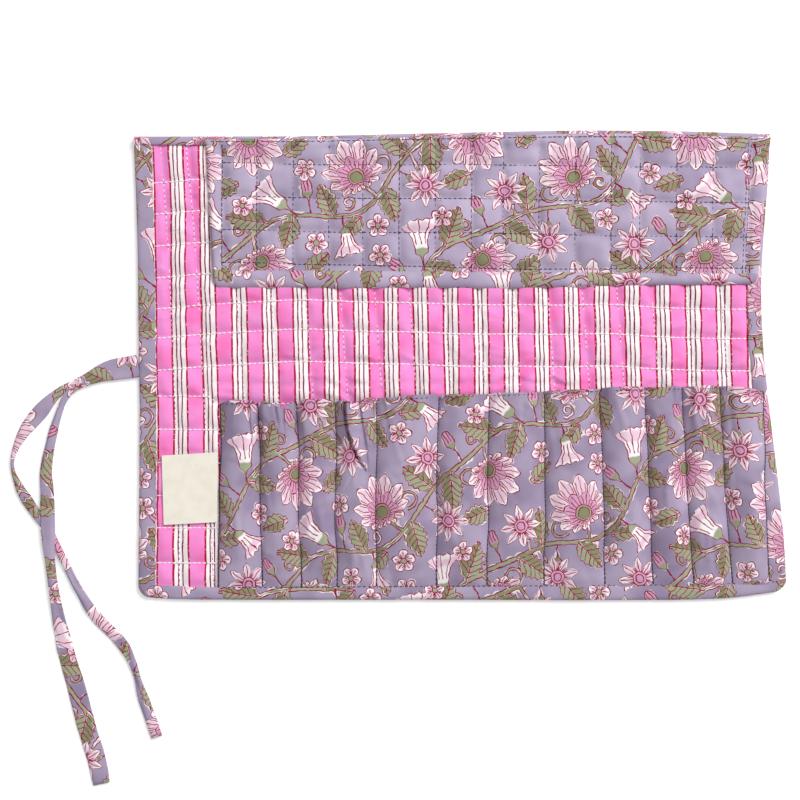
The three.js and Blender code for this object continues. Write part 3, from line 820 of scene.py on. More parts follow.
POCKET_AREA = ((SEAMS[0], SEAMS[-1]), (BOTTOM, -10))


def pocket_number(x):
    return np.clip(np.searchsorted(SEAMS, x, side="right") - 1, 0, len(POCKET_WIDTHS) - 1)


def pocket_share(x):
    """Place across its own pocket, from 0 to 1."""
    k = pocket_number(x)
    return np.clip((x - SEAMS[k]) / np.array(POCKET_WIDTHS)[k], 0, 1)


def pocket_top(x, y):
    """Height of the pocket cloth, where x is a place before the seams lean."""
    opened = FIRST_SHARE * fade(y, POCKET_FOOT, FIRST_RAMP)
    opened = opened + (1 - FIRST_SHARE) * fade(y, POCKET_FOOT, POCKET_RAMP)
    arch = np.sin(np.pi * pocket_share(x)) ** POCKET_ARCH
    level = SEAM_LEVEL - FOOT_DIP * fade(-y, *FOOT_DIP_ZONE) + OVER_BORDER * fade(x, *CLIMB_ZONE)
    gaping = GAPING * fade(-x, *LEFT_POCKETS) * fade(y, mouth(x) - GAPING_DEPTH[0], GAPING_DEPTH[1])
    height = level + POCKET_RISE * arch * opened * (1 + gaping + swell(x, y, POCKET_SWELL))
    height = height + (gathered(x, y) + box_pleat(x, y)) * arch ** 0.3
    beside = np.exp(-nearest(x, SEAMS) / DRAW_REACH)
    draw = swell(x * 0.8, y * 1.7, SEAM_DRAW) * beside * (0.4 + opened)
    hem = HEM_RISE * fade(y, mouth(x) - HEM_WIDTH, HEM_STEP)
    soft = creases(x, y, POCKET_AREA, LONG_CREASES) + creases(x, y, POCKET_AREA, SHORT_CREASES)
    soft = (soft + swell(x, y, SMALL_SWELL)) * arch ** 0.7 * (0.35 + 0.65 * opened)
    return np.maximum(height + draw + hem + soft, level - 0.05)


print("pockets", len(POCKET_WIDTHS), "from", min(POCKET_WIDTHS), "to", max(POCKET_WIDTHS), "mm wide")

# %% The wavy mouths
MOUTH_DIPS = [  # x, reach before and after it, depth
    (-94, 8, 3.4, 4.6),
    (-109, 1.6, 1.6, 3),
    (-87, 1.4, 1.4, 1.2),
    (-62, 1, 1, 0.8),
    (-55.5, 5, 3.2, 2.8),
]
MOUTH_BULGE = np.array([1.3, 0.8, 1.2, 0.5, 0.6, 0.2, 0.1, 0.2, 0.3, 0.1, 0.2, 0.1])
BULGE_SWELL, MOUTH_SWELL = Swell(0.5, 13, 37), Swell(0.45, 9, 34)
NOTCH, LEFT_NOTCH, NOTCH_REACH = 0.5, 0.8, 1.8


def mouth_wave(x):
    """How far the open edge leaves its line: bulges, notches at the seams and single dips."""
    bulge = MOUTH_BULGE[pocket_number(x)] * (1 + swell(x, 0, BULGE_SWELL))
    notch = NOTCH + LEFT_NOTCH * fade(-x, *LEFT_POCKETS)
    wave = swell(x, 0, MOUTH_SWELL) - notch * np.exp(-nearest(x, SEAMS) / NOTCH_REACH)
    wave = wave + bulge * np.sin(np.pi * pocket_share(x)) ** 0.7
    for at, before, after, dip in MOUTH_DIPS:
        wave = wave - dip * np.exp(-((x - at) / np.where(x < at, before, after)) ** 2)
    return wave


print("mouths at the seams leave their line by", np.round(mouth_wave(SEAMS), 1), "mm")

# %% Grid of the pocket cloth
BESIDE_SEAM = (0, 0.35, 0.8, 1.5)
FINE_STEP, WIDE_STEP, POCKET_ROWS = 0.5, 0.85, 72
POCKET_PRINT = 130

beside_seam = [seam + side * away for seam in SEAMS for side in (-1, 1) for away in BESIDE_SEAM]
pocket_knots = sorted({round(float(v), 4) for v in [*beside_seam, *CUTS] if SEAMS[0] <= v <= SEAMS[-1]})
fine_knots = [k for k in pocket_knots if k <= SEAMS[4]]
wide_knots = pocket_knots[len(fine_knots) - 1:]
pocket_x = np.concatenate([divide(fine_knots, FINE_STEP)[:-1], divide(wide_knots, WIDE_STEP)])
pocket_t = divide([0, 1], 1 / POCKET_ROWS)
pocket_cols = np.tile(pocket_x, (len(pocket_t), 1))
pocket_rows = POCKET_FOOT + pocket_t[:, None] * (mouth(pocket_x) + mouth_wave(pocket_x) - POCKET_FOOT)
pocket_height = pocket_top(pocket_cols, pocket_rows)
pocket_upper = np.stack([lean_seams(pocket_cols, pocket_rows), pocket_rows, pocket_height], axis=-1)
pocket_lower = pocket_upper - (0, 0, POCKET_CLOTH)
pocket_normals, pocket_inside = grid_normals(pocket_upper), grid_normals(pocket_lower)
girth = run_of(np.stack([pocket_x, pocket_height[len(pocket_t) // 2]], axis=1))
pocket_uv = np.stack([np.tile(girth, (len(pocket_t), 1)) - POCKET_PRINT, pocket_rows], axis=-1)
print("pocket cloth", round(girth[-1]), "mm wide over", round(SEAMS[-1] - SEAMS[0]), "mm of panel")

# %% Pocket pieces
pocket_marks = marks(pocket_x, CUTS)
pockets = []
for j in range(1, STRIPS):
    part = np.s_[:, pocket_marks[j - 1]:pocket_marks[j] + 1]
    uv = pocket_uv[part]
    pocket = two_faced(f"pockets_{j:02d}", pocket_upper[part], pocket_lower[part], uv, uv,
                       pocket_normals[part], pocket_inside[part])
    bend(pocket, j)
    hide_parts(f"pocket_{j:02d}")
    pockets.append(pocket)
tell("pockets", pockets)

# %% [markdown]
# ## The flap
# A quilted strip hinges on the top edge and lies over the brush heads. It is bound along its left, lower
# and right sides. In section it is a thin cushion: round edges, low stitch lines, soft crowns. It could
# be one mesh, but it has to turn while the panel rolls. So it is a row of slats, one on each strip, cut
# at the hinges, and the grid has a column of points exactly on every cut.

# %% Outline of the flap
FLAP_HIGH = TOP - 2.2
FLAP_RIGHT_LOW = RIGHT - WAIST_INSET - 2.5
FLAP_CORNER = 5
LOW_DROP, LOW_LIFT, LIFT_ZONE, LOW_SWELL = 1.35, 2.2, (20, 140), Swell(0.4, 21, 43)


def flap_low(x):
    """Y of the lower edge, which lifts towards the right."""
    return FLAP_LOW - LOW_DROP + LOW_LIFT * fade(x, *LIFT_ZONE) + swell(x, 0, LOW_SWELL)


def corner_pull(y, low):
    """How far a round corner stands back from the side."""
    rest = np.maximum(0, FLAP_CORNER - np.maximum(0, y - low))
    return FLAP_CORNER - np.sqrt(np.maximum(0, FLAP_CORNER ** 2 - rest ** 2))


def flap_left(y):
    share = (TOP - y) / (TOP - FLAP_LOW)
    edge = HINGES[0] - FLAP_LAP[0] + (FLAP_LAP[0] - FLAP_LAP[1]) * share
    return edge + corner_pull(y, flap_low(edge))


def flap_right(y):
    share = (TOP - y) / (TOP - FLAP_LOW)
    edge = right_edge(TOP) + (FLAP_RIGHT_LOW - right_edge(TOP)) * share
    return edge - corner_pull(y, flap_low(edge))


print("flap", round(TOP - FLAP_LOW, 1), "mm deep")

# %% Stitch lines of the flap
FLAP_X = np.array([
    -129.3, -110.6, -91.1, -71.8, -53.6, -34.1, -14.6, 4.9, 21.9, 41.2, 60.5, 79.9, 95.4, 115.1, 134.5,
])
FLAP_Y = [(109.2, 107.4, 0), (91.3, 88.5, 0), (73.2, 70, 0), (55.6, 53.2, 1.9)]
BIND_Y, BIND_SHARE = (52, 50.3, 0), 0.56
TILT_FROM, TILT_TO = -100, 130
SAG_AT, SAG_REACH = 25, 55
FLAP_COLUMN_SWAY, FLAP_ROW_SWAY = Swell(0.45, 38, 45), Swell(0.5, 40, 46)


def tilted(line, x):
    """Y of a stitch line that drops from left to right and sags in the middle."""
    left, right, sag = line
    straight = left + (right - left) * (x - TILT_FROM) / (TILT_TO - TILT_FROM)
    return straight - sag * np.exp(-((x - SAG_AT) / SAG_REACH) ** 2)


def right_binding(y):
    """X of the stitch line beside the right binding."""
    high = np.maximum(y, FLAP_LOW + 3 * FLAP_CORNER)
    return HINGES[-1] + BIND_SHARE * (flap_right(high) - HINGES[-1])


print("flap quilting", len(FLAP_X), "columns and", len(FLAP_Y), "rows")

# %% Heights of the flap
FLAP_BASE, FLAP_CLIMB, STRIP_ZONE = 3.5, 1.35, (TOP - 7.5, 2.5)
FLAP_SKIN, FLAP_LEVEL = 0.1, 7
FLAP_GROOVE, FLAP_CROWN, FLAP_DENT = 0.85, 3.1, 0.6
FLAP_SOFTNESS, BINDING_SOFTNESS = 2.6, (2.2, 2)
BINDING_CROWN = 0.85
EDGE_ROUND, SEWN_ROUND = 2.4, 5
FLAP_PUCKER, FLAP_SWELL = Swell(0.16, 6, 41), Swell(0.12, 34, 42)
FLAP_CREASES = Creases(height=0.3, count=90, length=9, width=2, heading=1.4, spread=0.5, seed=47)
FLAP_AREA = ((HINGES[0], RIGHT), (FLAP_LOW, TOP))


def quarter(t):
    """A quarter of a circle, rising from 0 to 1."""
    return np.sqrt(np.clip(1 - (1 - np.clip(t, 0, 1)) ** 2, 0, 1))


def flap_base(y):
    """The underside, which climbs on the top strip."""
    return FLAP_BASE + FLAP_CLIMB * fade(y, *STRIP_ZONE)


def flap_puff(x, y):
    """0 on the stitch lines, 1 on the crowns, and a lower crown on the binding."""
    dx = nearest(x - swell(y, 0, FLAP_COLUMN_SWAY), FLAP_X)
    dy = np.min([np.abs(y - swell(x, 0, FLAP_ROW_SWAY) - tilted(line, x)) for line in FLAP_Y], axis=0)
    beyond = np.maximum.reduce([tilted(BIND_Y, x) - y, FLAP_X[0] - x, x - right_binding(y)])
    inside = puffed(dx, FLAP_SOFTNESS) * puffed(dy, FLAP_SOFTNESS)
    inside = inside * puffed(np.maximum(0, -beyond), BINDING_SOFTNESS[0])
    binding = BINDING_CROWN * puffed(np.maximum(0, beyond), BINDING_SOFTNESS[1])
    return np.where(beyond > 0, binding, inside)


def flap_top(x, y):
    """The printed face, round at its edges and sewn down at the top."""
    edge = np.minimum.reduce([x - flap_left(y), flap_right(y) - x, 0.5 * (y - flap_low(x))])
    body = FLAP_GROOVE + (FLAP_CROWN - FLAP_GROOVE) * flap_puff(x, y)
    body = body + swell(x, y, FLAP_PUCKER) + swell(x, y, FLAP_SWELL)
    body = body + creases(x, y, FLAP_AREA, FLAP_CREASES)
    body = np.maximum(0, np.minimum(body, FLAP_LEVEL - FLAP_SKIN - flap_base(y)))
    rounded, sewn = quarter(edge / EDGE_ROUND), quarter((FLAP_HIGH - y) / SEWN_ROUND)
    return flap_base(y) + FLAP_SKIN + body * rounded * sewn


def flap_bottom(x, y):
    """The striped inside, dented at the stitch lines."""
    thickness = flap_top(x, y) - flap_base(y)
    return flap_base(y) + FLAP_DENT * (1 - flap_puff(x, y)) * fade(thickness, 0, 1.5)


print("flap from", FLAP_BASE, "to", FLAP_LEVEL, "mm above the table")

# %% Grid of the flap
LEFT_STEP, RIGHT_STEP, SLAT_STEP = 1.2, 1.4, 1.5
ROLL_SHARE = np.array([0, 0.01, 0.035, 0.08, 0.14, 0.21, 0.3, 0.42, 0.55, 0.7, 0.84, 0.92])[:, None]
FLAT_SHARE = np.linspace(0, 1, 50)[:, None]
HIGH_SWELL = Swell(0.5, 17, 44)

top_right = float(right_edge(TOP))
right_knot = HINGES[-1] + BIND_SHARE * (top_right - HINGES[-1])
left_x = divide([HINGES[0] - FLAP_LAP[0], HINGES[0]], LEFT_STEP)
right_x = divide([HINGES[-1], right_knot, top_right], RIGHT_STEP)
flap_x = np.concatenate([left_x[:-1], divide([HINGES[0], FLAP_X[0], *HINGES[1:]], SLAT_STEP), right_x[1:]])
low, bound = flap_low(flap_x), tilted(BIND_Y, flap_x)
high = FLAP_HIGH + swell(flap_x, 0, HIGH_SWELL)
flap_rows = np.concatenate([low + ROLL_SHARE * (bound - low), bound + FLAT_SHARE * (high - bound)])
flap_cols = np.tile(flap_x, (len(flap_rows), 1))
left_share = (flap_cols - left_x[0]) / (left_x[-1] - left_x[0])
right_share = (flap_cols - HINGES[-1]) / (right_x[-1] - HINGES[-1])
left_side = flap_left(flap_rows) + left_share * (HINGES[0] - flap_left(flap_rows))
right_side = HINGES[-1] + right_share * (flap_right(flap_rows) - HINGES[-1])
flap_cols = np.where(flap_x < HINGES[0], left_side, np.where(flap_x > HINGES[-1], right_side, flap_cols))
flap_upper = np.stack([flap_cols, flap_rows, flap_top(flap_cols, flap_rows)], axis=-1)
flap_lower = np.stack([flap_cols, flap_rows, flap_bottom(flap_cols, flap_rows)], axis=-1)
flap_normals, flap_under = grid_normals(flap_upper), grid_normals(flap_lower)
print("flap grid", flap_cols.shape)

# %% Flap slats
FLAP_PRINT = np.array([21.0, -47.0])
LEFT_PATCH, LOWER_PATCH, RIGHT_PATCH = (31, 12), (-44, 23), (17, -35)


def turn_flap(obj):
    """Bakes a slat's placement into its mesh."""
    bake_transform(obj)


middle_x = (flap_x[1:] + flap_x[:-1]) / 2
patches = np.zeros((len(flap_rows) - 1, len(middle_x), 2))
patches[:, middle_x < FLAP_X[0]] = LEFT_PATCH
patches[:, middle_x > right_knot] = RIGHT_PATCH
patches[:len(ROLL_SHARE)] = LOWER_PATCH
flap_marks = marks(flap_x, HINGES)
flaps = []
for i in range(STRIPS):
    first, last = flap_marks[i], flap_marks[i + 1]
    part = np.s_[:, first:last + 1]
    flat = flap_upper[part][..., :2]
    flap = two_faced(f"flap_{i:02d}_cloth", flap_upper[part], flap_lower[part], flat + FLAP_PRINT, flat,
                     flap_normals[part], flap_under[part], patches[:, first:last])
    turn_flap(flap)
    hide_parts(f"flap_{i:02d}")
    flaps.append(flap)
tell("flap slats", flaps)

# %% [markdown]
# ## The label
# A bare square of cream cotton is tacked on the margin beside the pockets, a few degrees off square. A
# thin box would do, but its four corners aren't quite a rectangle and the cloth isn't flat. So it is a
# small grid between the four corners, with a soft swell, and its corners lie lower than its middle.

# %% Label
LABEL_CORNERS = np.array([[(-161.3, -85), (-131.9, -83.5)], [(-162.7, -47.7), (-131.5, -45.8)]])
LABEL_LEVEL, LABEL_CLOTH = 3.55, 0.4
LABEL_COLUMNS, LABEL_ROWS = 25, 31
LABEL_SWELL, CORNER_DROP = Swell(0.16, 9, 51), 0.5

u, v = np.meshgrid(np.linspace(0, 1, LABEL_COLUMNS), np.linspace(0, 1, LABEL_ROWS))
low_edge, high_edge = (a + u[..., None] * (b - a) for a, b in LABEL_CORNERS)
label_flat = low_edge + v[..., None] * (high_edge - low_edge)
label_x, label_y = label_flat[..., 0], label_flat[..., 1]
at_corner = np.maximum(0, np.hypot(u - 0.5, v - 0.5) - 0.45)
label_z = LABEL_LEVEL + swell(label_x, label_y, LABEL_SWELL) - CORNER_DROP * at_corner
label_upper = np.stack([label_x, label_y, label_z + LABEL_CLOTH], axis=-1)
label_lower = np.stack([label_x, label_y, label_z], axis=-1)
label = two_faced("label_cloth", label_upper, label_lower, label_flat, label_flat,
                  grid_normals(label_upper), grid_normals(label_lower))
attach(label, "strip_00")
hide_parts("label")
tell("label", [label])

# %% [markdown]
# ## The stitching
# White thread quilts the lining, and slate thread sews the flap, the pockets and the bottom border. A
# dotted line in the finish would be cheap, but thread stands up from the cloth and catches the light at
# its side. So each stitch is a mesh: a small capsule whose ends dip into the cloth. One template is
# copied along every seam, with a little chance in its place, its heading and its length.

# %% Stitches along a seam
Stitch = namedtuple("Stitch", "pitch length radius jitter")
CROOKED, UNEVEN = 0.06, (0.82, 1.12)
HALF_STEP = 0.5


def seam(points, height, stitch, seed):
    """Stitches along a line of points: middle, heading, length and radius of each."""
    points = np.asarray(points, float)
    run = run_of(points)
    rng = np.random.default_rng(seed)
    at = np.arange(stitch.pitch / 2, run[-1], stitch.pitch)
    at = at + rng.uniform(-stitch.jitter, stitch.jitter, len(at))
    along = lambda place, axis: np.interp(place, run, points[:, axis])
    x, y = along(at, 0), along(at, 1)
    ahead, side = (along(at + HALF_STEP, axis) - along(at - HALF_STEP, axis) for axis in (0, 1))
    heading = np.arctan2(side, ahead) + rng.uniform(-CROOKED, CROOKED, len(at))
    size = stitch.length * rng.uniform(*UNEVEN, len(at))
    return np.stack([x, y, height(x, y), heading, size, np.full(len(at), stitch.radius)], axis=1)


print("a kind of stitch has", *Stitch._fields)

# %% One mesh of many stitches
RINGS = np.array([  # place along the stitch, width and height of each ring
    (-0.5, 0.35, -0.5), (-0.32, 0.95, 0.25), (0, 1, 0.5), (0.32, 0.95, 0.25), (0.5, 0.35, -0.5),
])
SIDES = 5


def sew(name, stitches, upward=1):
    """One mesh with every stitch in the list, on the upper side of a cloth or on its lower one."""
    turn = np.linspace(0, 2 * np.pi, SIDES, endpoint=False)
    along, wide, lift = (np.repeat(RINGS[:, k], SIDES) for k in range(3))
    c, s = np.tile(np.cos(turn), len(RINGS)), np.tile(np.sin(turn), len(RINGS))
    x, y, z, heading, size, radius = (stitches[:, k:k + 1] for k in range(6))
    forward, sideways = along * size, wide * c * radius
    points = np.stack([x + forward * np.cos(heading) - sideways * np.sin(heading),
                       y + forward * np.sin(heading) + sideways * np.cos(heading),
                       z + (lift * upward + wide * s) * radius], axis=-1)
    corner = np.arange(len(RINGS) * SIDES).reshape(len(RINGS), SIDES)
    beside = np.roll(corner, -1, axis=1)
    sides = np.stack([corner[:-1], beside[:-1], beside[1:], corner[1:]], axis=-1).reshape(-1, 4)
    faces = []
    for shift in range(0, len(stitches) * corner.size, corner.size):
        ends = [(corner[0][::-1] + shift).tolist(), (corner[-1] + shift).tolist()]
        faces += (sides + shift).tolist() + ends
    return new_object(name, points.reshape(-1, 3), faces)


print("one stitch has", len(RINGS) * SIDES, "points")

# %% Seams of the lining
COLUMN_STITCH, DOT_STITCH = Stitch(2.9, 2, 0.27, 0.2), Stitch(2.9, 0.9, 0.2, 0.2)
ROW_STITCH, LEFT_STITCH = Stitch(2.75, 2.9, 0.42, 0.12), Stitch(6.5, 2.6, 0.25, 1.0)
LEFT_STITCH_LEVEL = 3.7
COLUMN_SEED, ROW_SEED, LEFT_SEED, DOT_SEED = 100, 200, 300, 500


def upright_line(x, low, high):
    """An upright stitch line of the quilting, as it wanders."""
    run = np.arange(low, high + 1, 2.0)
    return np.stack([x + drift_x(np.full_like(run, x), run), run], axis=1)


def level_line(y, left, right):
    """A level stitch line of the quilting, as it wanders."""
    run = np.arange(left, right + 1, 2.0)
    return np.stack([run, y + drift_y(run, np.full_like(run, y))], axis=1)


sewn_from, sewn_to = BOTTOM + BORDER_BOTTOM, TOP - BORDER_TOP
white, slate = [], []
for k, x in enumerate(QUILT_X):
    line = upright_line(x, sewn_from, sewn_to)
    white.append(seam(line, quilt_top, COLUMN_STITCH, COLUMN_SEED + k))
    dots = upright_line(x, sewn_from + DOT_STITCH.pitch / 2, sewn_to)
    slate.append(seam(dots, quilt_top, DOT_STITCH, DOT_SEED + k))
for k, y in enumerate(QUILT_Y):
    line = level_line(y, LEFT + BORDER_LEFT, float(right_edge(y)) - BORDER_RIGHT)
    white.append(seam(line, quilt_top, ROW_STITCH, ROW_SEED + k))
rows = np.arange(sewn_from + 4, sewn_to, 4.0)
line = np.stack([np.full_like(rows, LEFT + BORDER_LEFT - 0.2), rows], axis=1)
white.append(seam(line, lambda x, y: np.full_like(x, LEFT_STITCH_LEVEL), LEFT_STITCH, LEFT_SEED))
print("lining seams", len(white), "white and", len(slate), "slate")

# %% Seams of the pockets and the bottom border
POCKET_STITCH = Stitch(2.3, 2.7, 0.42, 0.1)
MOUTH_STITCH, FOOT_STITCH = Stitch(2.6, 1.5, 0.2, 0.2), Stitch(2.8, 1.9, 0.22, 0.2)
BELOW_MOUTH, FOOT_INSET, FOOT_STITCH_LEVEL = 1.3, 0.5, 3.75
POCKET_SEED, MOUTH_SEED, FOOT_SEED = 320, 350, 351
LINE_STEP = 1.5

for k, x in enumerate(SEAMS):
    rows = np.arange(BOTTOM + foot_width(x) - 0.3, mouth(x) - 0.5, 1.0)
    line = np.stack([np.full_like(rows, x), rows], axis=1)
    stitches = seam(line, pocket_top, POCKET_STITCH, POCKET_SEED + k)
    stitches[:, 0] = lean_seams(stitches[:, 0], stitches[:, 1])
    slate.append(stitches)
run = np.arange(SEAMS[0] + 1, SEAMS[-1] - 1, LINE_STEP)
slate.append(seam(np.stack([run, mouth(run) - BELOW_MOUTH], axis=1), pocket_top, MOUTH_STITCH, MOUTH_SEED))
run = np.arange(SEAMS[0] + 1, RIGHT - 8, LINE_STEP)
line = np.stack([run, BOTTOM + foot_width(run) - FOOT_INSET], axis=1)
slate.append(seam(line, lambda x, y: np.full_like(x, FOOT_STITCH_LEVEL), FOOT_STITCH, FOOT_SEED))
print("slate seams", len(slate), "with those of the pockets")

# %% Seams of the flap
FLAP_COLUMN_STITCH, FLAP_ROW_STITCH = Stitch(2.9, 2.5, 0.27, 0.2), Stitch(2.7, 2.4, 0.27, 0.2)
FLAP_TOP_STITCH, BINDING_STITCH = Stitch(2.7, 2.4, 0.21, 0.2), Stitch(2.8, 1.9, 0.2, 0.25)
FLAP_TOP_SEAM = TOP - 3.6
BINDING_LINES = (-0.2, -1.9)
FLAP_COLUMN_SEED, FLAP_ROW_SEED, BINDING_SEED, FLAP_TOP_SEED = 400, 430, 440, 446

flap_slate = []
for k, x in enumerate(FLAP_X):
    rows = np.arange(float(tilted(BIND_Y, x)) - 1, FLAP_HIGH - 2, LINE_STEP)
    line = np.stack([x + swell(rows, 0, FLAP_COLUMN_SWAY), rows], axis=1)
    flap_slate.append(seam(line, flap_top, FLAP_COLUMN_STITCH, FLAP_COLUMN_SEED + k))
run = np.arange(FLAP_X[0], float(right_binding(TOP)), LINE_STEP)
for k, tilt in enumerate(FLAP_Y):
    line = np.stack([run, tilted(tilt, run) + swell(run, 0, FLAP_ROW_SWAY)], axis=1)
    flap_slate.append(seam(line, flap_top, FLAP_ROW_STITCH, FLAP_ROW_SEED + k))
run = np.arange(FLAP_X[0] - 6, top_right - 5, LINE_STEP)
line = np.stack([run, np.full_like(run, FLAP_TOP_SEAM)], axis=1)
flap_slate.append(seam(line, flap_top, FLAP_TOP_STITCH, FLAP_TOP_SEED))
rows = np.arange(float(tilted(BIND_Y, RIGHT)), FLAP_HIGH - 1.5, LINE_STEP)
for k, aside in enumerate(BINDING_LINES):
    line = np.stack([right_binding(rows) + aside, rows], axis=1)
    flap_slate.append(seam(line, flap_top, BINDING_STITCH, BINDING_SEED + k))
print("flap seams", len(flap_slate))

# %% [markdown]
# ## Thread on both sides
# A seam shows on the back of the cloth too, where the bobbin's thread is white. Those stitches are the
# same ones, laid on the other face. Every seam is cut into the same pieces as the cloth it is sewn in.

# %% Thread pieces
white, slate, flap_slate = (np.concatenate(stitches) for stitches in (white, slate, flap_slate))
behind = white[white[:, 0] > LEFT + BORDER_LEFT + 1].copy()
behind[:, 2] = quilt_bottom(behind[:, 0], behind[:, 1])
flap_behind = flap_slate.copy()
flap_behind[:, 2] = flap_bottom(flap_behind[:, 0], flap_behind[:, 1])
PANEL_THREADS = (
    ("white_thread", "white", white, 1),
    ("slate_thread", "slate", slate, 1),
    ("cover_thread", "white", behind, -1),
)
FLAP_THREADS = (("flap_thread", "slate", flap_slate, 1), ("flap_inside_thread", "white", flap_behind, -1))

threads = {"white": [], "slate": []}
for name, colour, stitches, side in PANEL_THREADS:
    piece_of = np.searchsorted(CUTS, stitches[:, 0]) + 1
    for j in range(1, STRIPS):
        thread = sew(f"{name}_{j:02d}", stitches[piece_of == j], side)
        bend(thread, j)
        threads[colour].append(thread)
for name, colour, stitches, side in FLAP_THREADS:
    slat_of = np.searchsorted(HINGES, stitches[:, 0])
    for i in sorted(set(slat_of.tolist())):
        thread = sew(f"{name}_{i:02d}", stitches[slat_of == i], side)
        turn_flap(thread)
        threads[colour].append(thread)
tell("white threads", threads["white"])
tell("slate threads", threads["slate"])

# %% [markdown]
# ## Numbers over the cloth
# A print could be a picture that is wrapped round the cloth. Here the finish draws it, so it needs no
# file and stays sharp close by. Every point of the cloth then works out how deep inside a petal or a
# leaf it is. In Blender that is a long chain of Math nodes, slow to lay by hand and hard to read. A small
# class turns plain sums and products into those nodes, so each motif below reads like a formula.

# %% Field: arithmetic that makes nodes
class Field:
    """A number that varies over the cloth, held by a node's output."""

    def __init__(self, tree, socket):
        self.tree, self.socket = tree, socket

    def math(self, operation, *others):
        """One Math node, fed with this number and with other numbers or fields."""
        node = self.tree.nodes.new("ShaderNodeMath")
        node.operation = operation
        for slot, value in zip(node.inputs, (self, *others)):
            if isinstance(value, Field):
                self.tree.links.new(value.socket, slot)
            else:
                slot.default_value = value
        return Field(self.tree, node.outputs[0])

    def __add__(self, other):
        return self.math("ADD", other)

    def __sub__(self, other):
        return self.math("SUBTRACT", other)

    def __rsub__(self, other):
        return self.math("MULTIPLY_ADD", -1.0, other)

    def __mul__(self, other):
        return self.math("MULTIPLY", other)

    def __truediv__(self, other):
        return self.math("DIVIDE", other)

    def __abs__(self):
        return self.math("ABSOLUTE")

    def larger(self, other):
        return self.math("MAXIMUM", other)

    def smaller(self, other):
        return self.math("MINIMUM", other)

    def bounce(self, half_period):
        """A triangle wave: 0 at whole periods, `half_period` halfway."""
        return self.math("PINGPONG", half_period)

    def wrapped(self, low, high):
        """The number brought back between two limits, as the hours of a clock are."""
        return self.math("WRAP", high, low)

    def rise(self, low, high):
        """0 below `low`, 1 above `high`, smooth between."""
        node = self.tree.nodes.new("ShaderNodeMapRange")
        node.interpolation_type = "SMOOTHSTEP"
        self.tree.links.new(self.socket, node.inputs["Value"])
        node.inputs["From Min"].default_value = low
        node.inputs["From Max"].default_value = high
        return Field(self.tree, node.outputs["Result"])

    def profile(self, points):
        """A drawn curve from 0 to 1."""
        node = self.tree.nodes.new("ShaderNodeFloatCurve")
        curve = node.mapping.curves[0]
        curve.points[0].location, curve.points[-1].location = points[0], points[-1]
        for p in points[1:-1]:
            curve.points.new(*p)
        node.mapping.update()
        self.tree.links.new(self.socket, node.inputs["Value"])
        return Field(self.tree, node.outputs["Value"])


print("a field can", *(name for name in vars(Field) if not name.startswith("_")))


# %% Vectors
def vector_math(tree, operation, *values):
    """One Vector Math node, fed with sockets or with fixed vectors."""
    node = tree.nodes.new("ShaderNodeVectorMath")
    node.operation = operation
    for slot, value in zip(node.inputs, values):
        if isinstance(value, tuple):
            slot.default_value = value
        else:
            tree.links.new(value, slot)
    return node


def turned(tree, vector, angle):
    """A vector turned in the plane of the cloth."""
    node = tree.nodes.new("ShaderNodeVectorRotate")
    node.rotation_type = "Z_AXIS"
    node.inputs["Angle"].default_value = angle
    tree.links.new(vector, node.inputs["Vector"])
    return node.outputs["Vector"]


def parts_of(tree, vector):
    """The three numbers of a vector."""
    node = tree.nodes.new("ShaderNodeSeparateXYZ")
    tree.links.new(vector, node.inputs[0])
    return [Field(tree, node.outputs[k]) for k in range(3)]


def cloth_place(tree):
    """Flat cloth coordinates in millimetres, as a vector."""
    uv = tree.nodes.new("ShaderNodeUVMap")
    uv.uv_map = "cloth"
    scale = tree.nodes.new("ShaderNodeVectorMath")
    scale.operation = "SCALE"
    scale.inputs["Scale"].default_value = 1 / MM
    tree.links.new(uv.outputs["UV"], scale.inputs[0])
    return scale.outputs["Vector"]


print("a metre of cloth is", round(1 / MM), "in the finishes")

# %% Noise and colours
NOISE_DETAIL = 2.0


def noise(tree, vector, size):
    """Noise from 0 to 1 with swells about `size` mm across."""
    node = tree.nodes.new("ShaderNodeTexNoise")
    tree.links.new(vector, node.inputs["Vector"])
    node.inputs["Scale"].default_value = 1 / size
    node.inputs["Detail"].default_value = NOISE_DETAIL
    return Field(tree, node.outputs["Fac"])


def linear(code):
    """A screen colour such as A394B7 as the shader's own numbers."""
    parts = [int(code[k:k + 2], 16) / 255 for k in (0, 2, 4)]
    return tuple(c / 12.92 if c <= 0.04045 else ((c + 0.055) / 1.055) ** 2.4 for c in parts) + (1,)


def over(tree, below, colour, mask):
    """Lays a colour over another through a mask."""
    node = tree.nodes.new("ShaderNodeMix")
    node.data_type = "RGBA"
    tree.links.new(mask.socket, node.inputs["Factor"])
    for name, value in (("A", below), ("B", colour)):
        slot = next(s for s in node.inputs if s.name == name and s.type == "RGBA")
        if isinstance(value, tuple):
            slot.default_value = value
        else:
            tree.links.new(value, slot)
    return next(s for s in node.outputs if s.type == "RGBA")


print("a screen grey of 128 is", round(linear("808080")[0], 3), "for the shader")

# %% [markdown]
# ## The block print
# Cover, pockets, flap and tie are cotton printed with carved wooden blocks. This one is a traditional
# trailing vine: blooms, star flowers and small flowers stand on both sides of a wavy stem with leaves,
# buds and curls. It is a design of its own in the manner of such prints. Rows of the vine run at a slant,
# and every other row is mirrored. Hundreds of motifs would be far too many nodes, so of each kind only
# the nearest copy is worked out: a copy gives its own coordinates, and the closest one wins.

# %% Layout of one row of the vine
REPEAT, ROW, ROW_SHIFT = 132, 60, 37
SLANT = math.radians(31)
VINE_SWING, VINE_RIPPLE, RIPPLE_PHASE = 9, 3, 0.8


